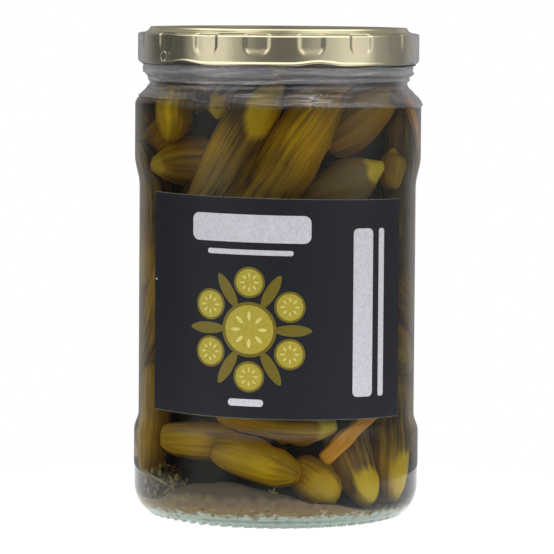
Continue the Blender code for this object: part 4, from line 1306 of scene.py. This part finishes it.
def label_print(chosen):
    """Name, colour, layer and outlines of each ink: plain bars, and a wreath of slices and leaves."""
    bars = [
        moved(rounded_box(38 * MM, 8.5 * MM, 2.2 * MM), (-8.5 * MM, 24.5 * MM)),
        moved(rounded_box(27 * MM, 1.6 * MM, 0.7 * MM), (-8.5 * MM, 17.2 * MM)),
        moved(rounded_box(7.6 * MM, 52 * MM, 1.6 * MM), (28.5 * MM, -1.0 * MM)),
        moved(rounded_box(2.4 * MM, 52 * MM, 0.8 * MM), (36.0 * MM, -1.0 * MM)),
        moved(rounded_box(11 * MM, 2.2 * MM, 1.0 * MM), (-9.5 * MM, -29.0 * MM)),
        moved(oval(1.2 * MM, 0.5 * MM), (-44.6 * MM, 6.7 * MM)),
    ]
    middle = np.array([-8.5 * MM, -6.5 * MM])
    sixths = np.linspace(0, math.tau, 7)[:-1]
    ring = [middle + 14.5 * MM * np.array([math.cos(a), math.sin(a)]) for a in sixths + math.radians(30)]
    rinds = [moved(oval(17 * MM, 17 * MM), middle)] + [moved(oval(9.6 * MM, 9.6 * MM), spot) for spot in ring]
    flesh = [moved(oval(15 * MM, 15 * MM), middle)] + [moved(oval(8.2 * MM, 8.2 * MM), spot) for spot in ring]
    leaves = []
    for angle in sixths:
        spot = middle + 13.5 * MM * np.array([math.cos(angle), math.sin(angle)])
        leaves.append(moved(leaf(12 * MM, 3.6 * MM), spot, math.degrees(angle)))
    seeds = []
    for spot, size in [(middle, 4.2 * MM)] + [(spot, 2.2 * MM) for spot in ring]:
        for angle in np.linspace(0, 360, 9)[:-1]:
            way = np.array([math.cos(math.radians(angle)), math.sin(math.radians(angle))])
            seeds.append(moved(leaf(size * 0.7, size * 0.26, 16), spot + way * size, angle))
    return [
        ("light", chosen.light_ink, 1, bars),
        ("rind", chosen.rind_ink, 1, rinds + leaves),
        ("flesh", chosen.flesh_ink, 2, flesh),
        ("seeds", chosen.seed_ink, 3, seeds),
    ]


class MakeGherkins(bpy.types.Operator):
    """Builds the gherkins over a dark core that stands for the shade in the heap"""
    bl_idname = "pickle_jar.gherkins"
    bl_label = "Gherkins"

    def execute(self, context):
        chosen = context.scene.jar_gherkins
        skin = gherkin_skin(chosen.brown, chosen.gold, chosen.bleached, chosen.pale, chosen.grey)
        packed = packed_gherkins(chosen.seed)
        names = list(FRONT_GHERKINS)
        front = [
            gherkin_shell(axis, radius, FRONT_LOOKS[name], 104, 88, 100 + number, PATCHES.get(name, NO_PATCH))
            for number, (name, (axis, radius)) in enumerate(zip(names, packed))
        ]
        rng = random.Random(chosen.seed)
        side = []
        for number, (axis, radius) in enumerate(packed[len(names):]):
            look = [max(0.0, share + rng.uniform(-0.2, 0.25)) for share in PLAIN_LOOK]
            side.append(gherkin_shell(axis, radius, look, 60, 52, 200 + number, NO_PATCH))
        inner = [
            gherkin_shell(chain(start, end), radius * MM, INNER_LOOK, 40, 36, 300 + number, NO_PATCH)
            for number, (start, end, radius) in enumerate(inner_gherkins(chosen.inner_count, chosen.seed))
        ]
        put("gherkins_upper", joined(front[:UPPER_COUNT]), skin, ["gherkins"])
        put("gherkins_lower", joined(front[UPPER_COUNT:]), skin, ["gherkins"])
        put("gherkins_side", joined(side), skin, ["gherkins"])
        put("gherkins_inner", joined(inner), skin, ["gherkins"])
        core = core_shell(chosen.core_radius, *CORE_Z)
        # The core's colour is painted shade between the gherkins.
        put("heap_core", core, core_flesh(chosen.core), ["gherkins"])
        return {"FINISHED"}


class MakeCarrots(bpy.types.Operator):
    """Builds the carrot sticks"""
    bl_idname = "pickle_jar.carrots"
    bl_label = "Carrot Sticks"

    def execute(self, context):
        chosen = context.scene.jar_garnish
        sticks = [carrot_shell(*stick, number) for number, stick in enumerate(CARROTS.values())]
        put("carrot_sticks", joined(sticks), carrot_flesh(chosen.carrot), list(CARROTS))
        return {"FINISHED"}


class MakeDill(bpy.types.Operator):
    """Builds the dill, its pale stems and seeds, and the spice settled on the floor"""
    bl_idname = "pickle_jar.dill"
    bl_label = "Dill and Spice"

    def execute(self, context):
        chosen = context.scene.jar_garnish
        herb = soaked_herb("soaked_dill", chosen.dill_dark, chosen.dill_light)
        straw = soaked_herb("pale_stems", chosen.straw_dark, chosen.straw_light)
        put("dill_curls", joined(dill_shells(chosen.curls, 5)), herb, ["dill"])
        put("dill_stems", joined(stem_shells()), straw, ["dill"])
        tan = soaked_herb("tan_crumbs", chosen.crumb_dark, chosen.crumb_light)
        put("crumbs", joined(crumb_shells(chosen.crumbs, 9)), tan, ["dill"])
        mud = settled_spice(chosen.cloud, chosen.tan, chosen.silt)
        put("sediment", sediment_shell(chosen.sediment_rise), mud, ["dill"])
        return {"FINISHED"}


class MakeBrine(bpy.types.Operator):
    """Fills the jar with brine"""
    bl_idname = "pickle_jar.brine"
    bl_label = "Brine"

    def execute(self, context):
        chosen = context.scene.jar_brine
        liquid = pickling_brine(chosen.tint, chosen.density)
        put("brine", brine_shell(chosen.reach, chosen.top), liquid)
        return {"FINISHED"}


def studio_world(brightness):
    """White to the camera, and to all other rays a studio: walls by azimuth, a broad light high in front, and
    a narrow strip light that only sharp reflections show.
    """
    world = bpy.data.worlds.new("studio")
    world.use_nodes = True
    tree = world.node_tree
    way = node(tree, "SeparateXYZ", {0: node(tree, "TexCoord").outputs["Generated"]})
    front = node(tree, "Math", {0: way.outputs["Y"], 1: -1.0}, operation="MULTIPLY")
    turn = node(tree, "Math", {0: way.outputs["X"], 1: front.outputs[0]}, operation="ARCTAN2")
    share = node(tree, "Math", {0: turn.outputs[0], 1: 1 / math.tau, 2: 0.5}, operation="MULTIPLY_ADD")
    round_about = []
    for levels in (STUDIO_WALLS, STUDIO_SKY):
        most = max(level for _, level in levels)
        stops = [(azimuth / 360 + 0.5, (level / most,) * 3) for azimuth, level in levels]
        ramp = node(tree, "ValToRGB", {"Fac": share.outputs[0]}, ramp=[stops[0], stops[-1], *stops[1:-1]])
        scale = node(tree, "VectorMath", {0: ramp.outputs["Color"], 1: (most,) * 3}, operation="MULTIPLY")
        round_about.append(scale.outputs[0])
    rise = node(tree, "ValToRGB", {"Fac": way.outputs["Z"]}, ramp=[
        (0.26, (0.0,) * 3), (0.88, (0.12,) * 3), (0.45, (1.0,) * 3), (0.76, (1.0,) * 3),
    ])
    walls, sky = round_about
    room = node(tree, "Mix", {0: rise.outputs["Color"], 6: walls, 7: sky}, data_type="RGBA")
    seen = node(tree, "LightPath")
    strip = node(tree, "ValToRGB", {"Fac": way.outputs["Z"]}, ramp=[
        (0.9, (0.0,) * 3), (0.985, (0.0,) * 3), (0.925, (1.0,) * 3), (0.965, (1.0,) * 3),
    ])
    sharp = node(
        tree, "Math", {0: seen.outputs["Is Singular Ray"], 1: seen.outputs["Is Reflection Ray"]},
        operation="MULTIPLY",
    )
    shine = node(tree, "Math", {0: strip.outputs["Color"], 1: sharp.outputs[0]}, operation="MULTIPLY")
    glare = node(tree, "Math", {0: shine.outputs[0], 1: STRIP_LIGHT, 2: 1.0}, operation="MULTIPLY_ADD")
    strength = node(tree, "Math", {0: glare.outputs[0], 1: brightness}, operation="MULTIPLY")
    lit = node(tree, "Background", {"Color": room.outputs[2], "Strength": strength.outputs[0]})
    plain = node(tree, "Background", {"Color": (1.0, 1.0, 1.0, 1.0)})
    direct = seen.outputs["Is Camera Ray"]
    both = node(tree, "MixShader", {0: direct, 1: lit.outputs[0], 2: plain.outputs[0]})
    tree.links.new(both.outputs[0], tree.nodes["World Output"].inputs["Surface"])
    return world


class MakeStage(bpy.types.Operator):
    """Sets up the floor, the light and the camera"""
    bl_idname = "pickle_jar.stage"
    bl_label = "Stage"

    def execute(self, context):
        chosen = context.scene.jar_stage
        scene = context.scene
        scene.view_settings.view_transform = "Standard"
        scene.world = studio_world(chosen.brightness)
        made, _, _ = material("pale_floor", {
            "Base Color": (0.3, 0.3, 0.3, 1.0), "Roughness": 0.9, "Specular IOR Level": 0.0,
            "Emission Color": (1.0, 1.0, 1.0, 1.0), "Emission Strength": FLOOR_GLOW,
        })
        turn = np.linspace(0.0, math.tau, 96, endpoint=False)
        floor = bpy.data.meshes.new("floor")
        floor.from_pydata(place(np.degrees(turn), 0.0, chosen.floor_radius).tolist(), [], [range(96)])
        floor.materials.append(made)
        ground = bpy.data.objects.new("floor", floor)
        scene.collection.objects.link(ground)
        camera = bpy.data.cameras.new("camera")
        camera.lens = chosen.lens
        camera.sensor_width = SENSOR_WIDTH
        camera.clip_end = 50.0
        eye = bpy.data.objects.new("camera", camera)
        eye.location = (0.0, -chosen.distance, chosen.height)
        tilt = math.atan2(chosen.height - chosen.aim, chosen.distance)
        eye.rotation_mode = "XYZ"
        eye.rotation_euler = (math.pi / 2 - tilt, 0.0, 0.0)
        scene.collection.objects.link(eye)
        context.view_layer.update()
        eye.rotation_euler.rotate_axis("Z", chosen.roll)
        scene.camera = eye
        return {"FINISHED"}


class JarPanel(bpy.types.Panel):
    """Lists the pieces of the jar and their settings"""
    bl_idname = "VIEW3D_PT_pickle_jar"
    bl_label = "Pickle Jar"
    bl_space_type = "VIEW_3D"
    bl_region_type = "UI"
    bl_category = "Pickle Jar"

    def draw(self, context):
        for group, operators in PANEL_ROWS.items():
            box = self.layout.box()
            chosen = getattr(context.scene, group)
            for name in chosen.bl_rna.properties.keys():
                if name not in ("rna_type", "name"):
                    box.prop(chosen, name)
            for operator in operators:
                box.operator(operator.bl_idname)


GROUPS = {
    "jar_glass": GlassSettings,
    "jar_lid": LidSettings,
    "jar_label": LabelSettings,
    "jar_gherkins": GherkinSettings,
    "jar_garnish": GarnishSettings,
    "jar_brine": BrineSettings,
    "jar_stage": StageSettings,
}
PANEL_ROWS = {
    "jar_glass": [MakeGlass],
    "jar_lid": [MakeLid, MakeFilm],
    "jar_label": [MakeLabel],
    "jar_gherkins": [MakeGherkins],
    "jar_garnish": [MakeCarrots, MakeDill],
    "jar_brine": [MakeBrine],
    "jar_stage": [MakeStage],
}
OPERATORS = [operator for row in PANEL_ROWS.values() for operator in row]


def register():
    """Registers the classes and puts the settings on the scene."""
    for made in [*GROUPS.values(), *OPERATORS, JarPanel]:
        bpy.utils.register_class(made)
    for name, group in GROUPS.items():
        setattr(bpy.types.Scene, name, PointerProperty(type=group))


def unregister():
    """Takes the settings off the scene and the classes out of Blender."""
    for name in GROUPS:
        delattr(bpy.types.Scene, name)
    for made in [JarPanel, *OPERATORS[::-1], *list(GROUPS.values())[::-1]]:
        bpy.utils.unregister_class(made)


def main():
    """Builds every piece and the stage."""
    register()
    for operator in OPERATORS:
        group, name = operator.bl_idname.split(".")
        getattr(getattr(bpy.ops, group), name)()


if __name__ == "__main__":
    main()
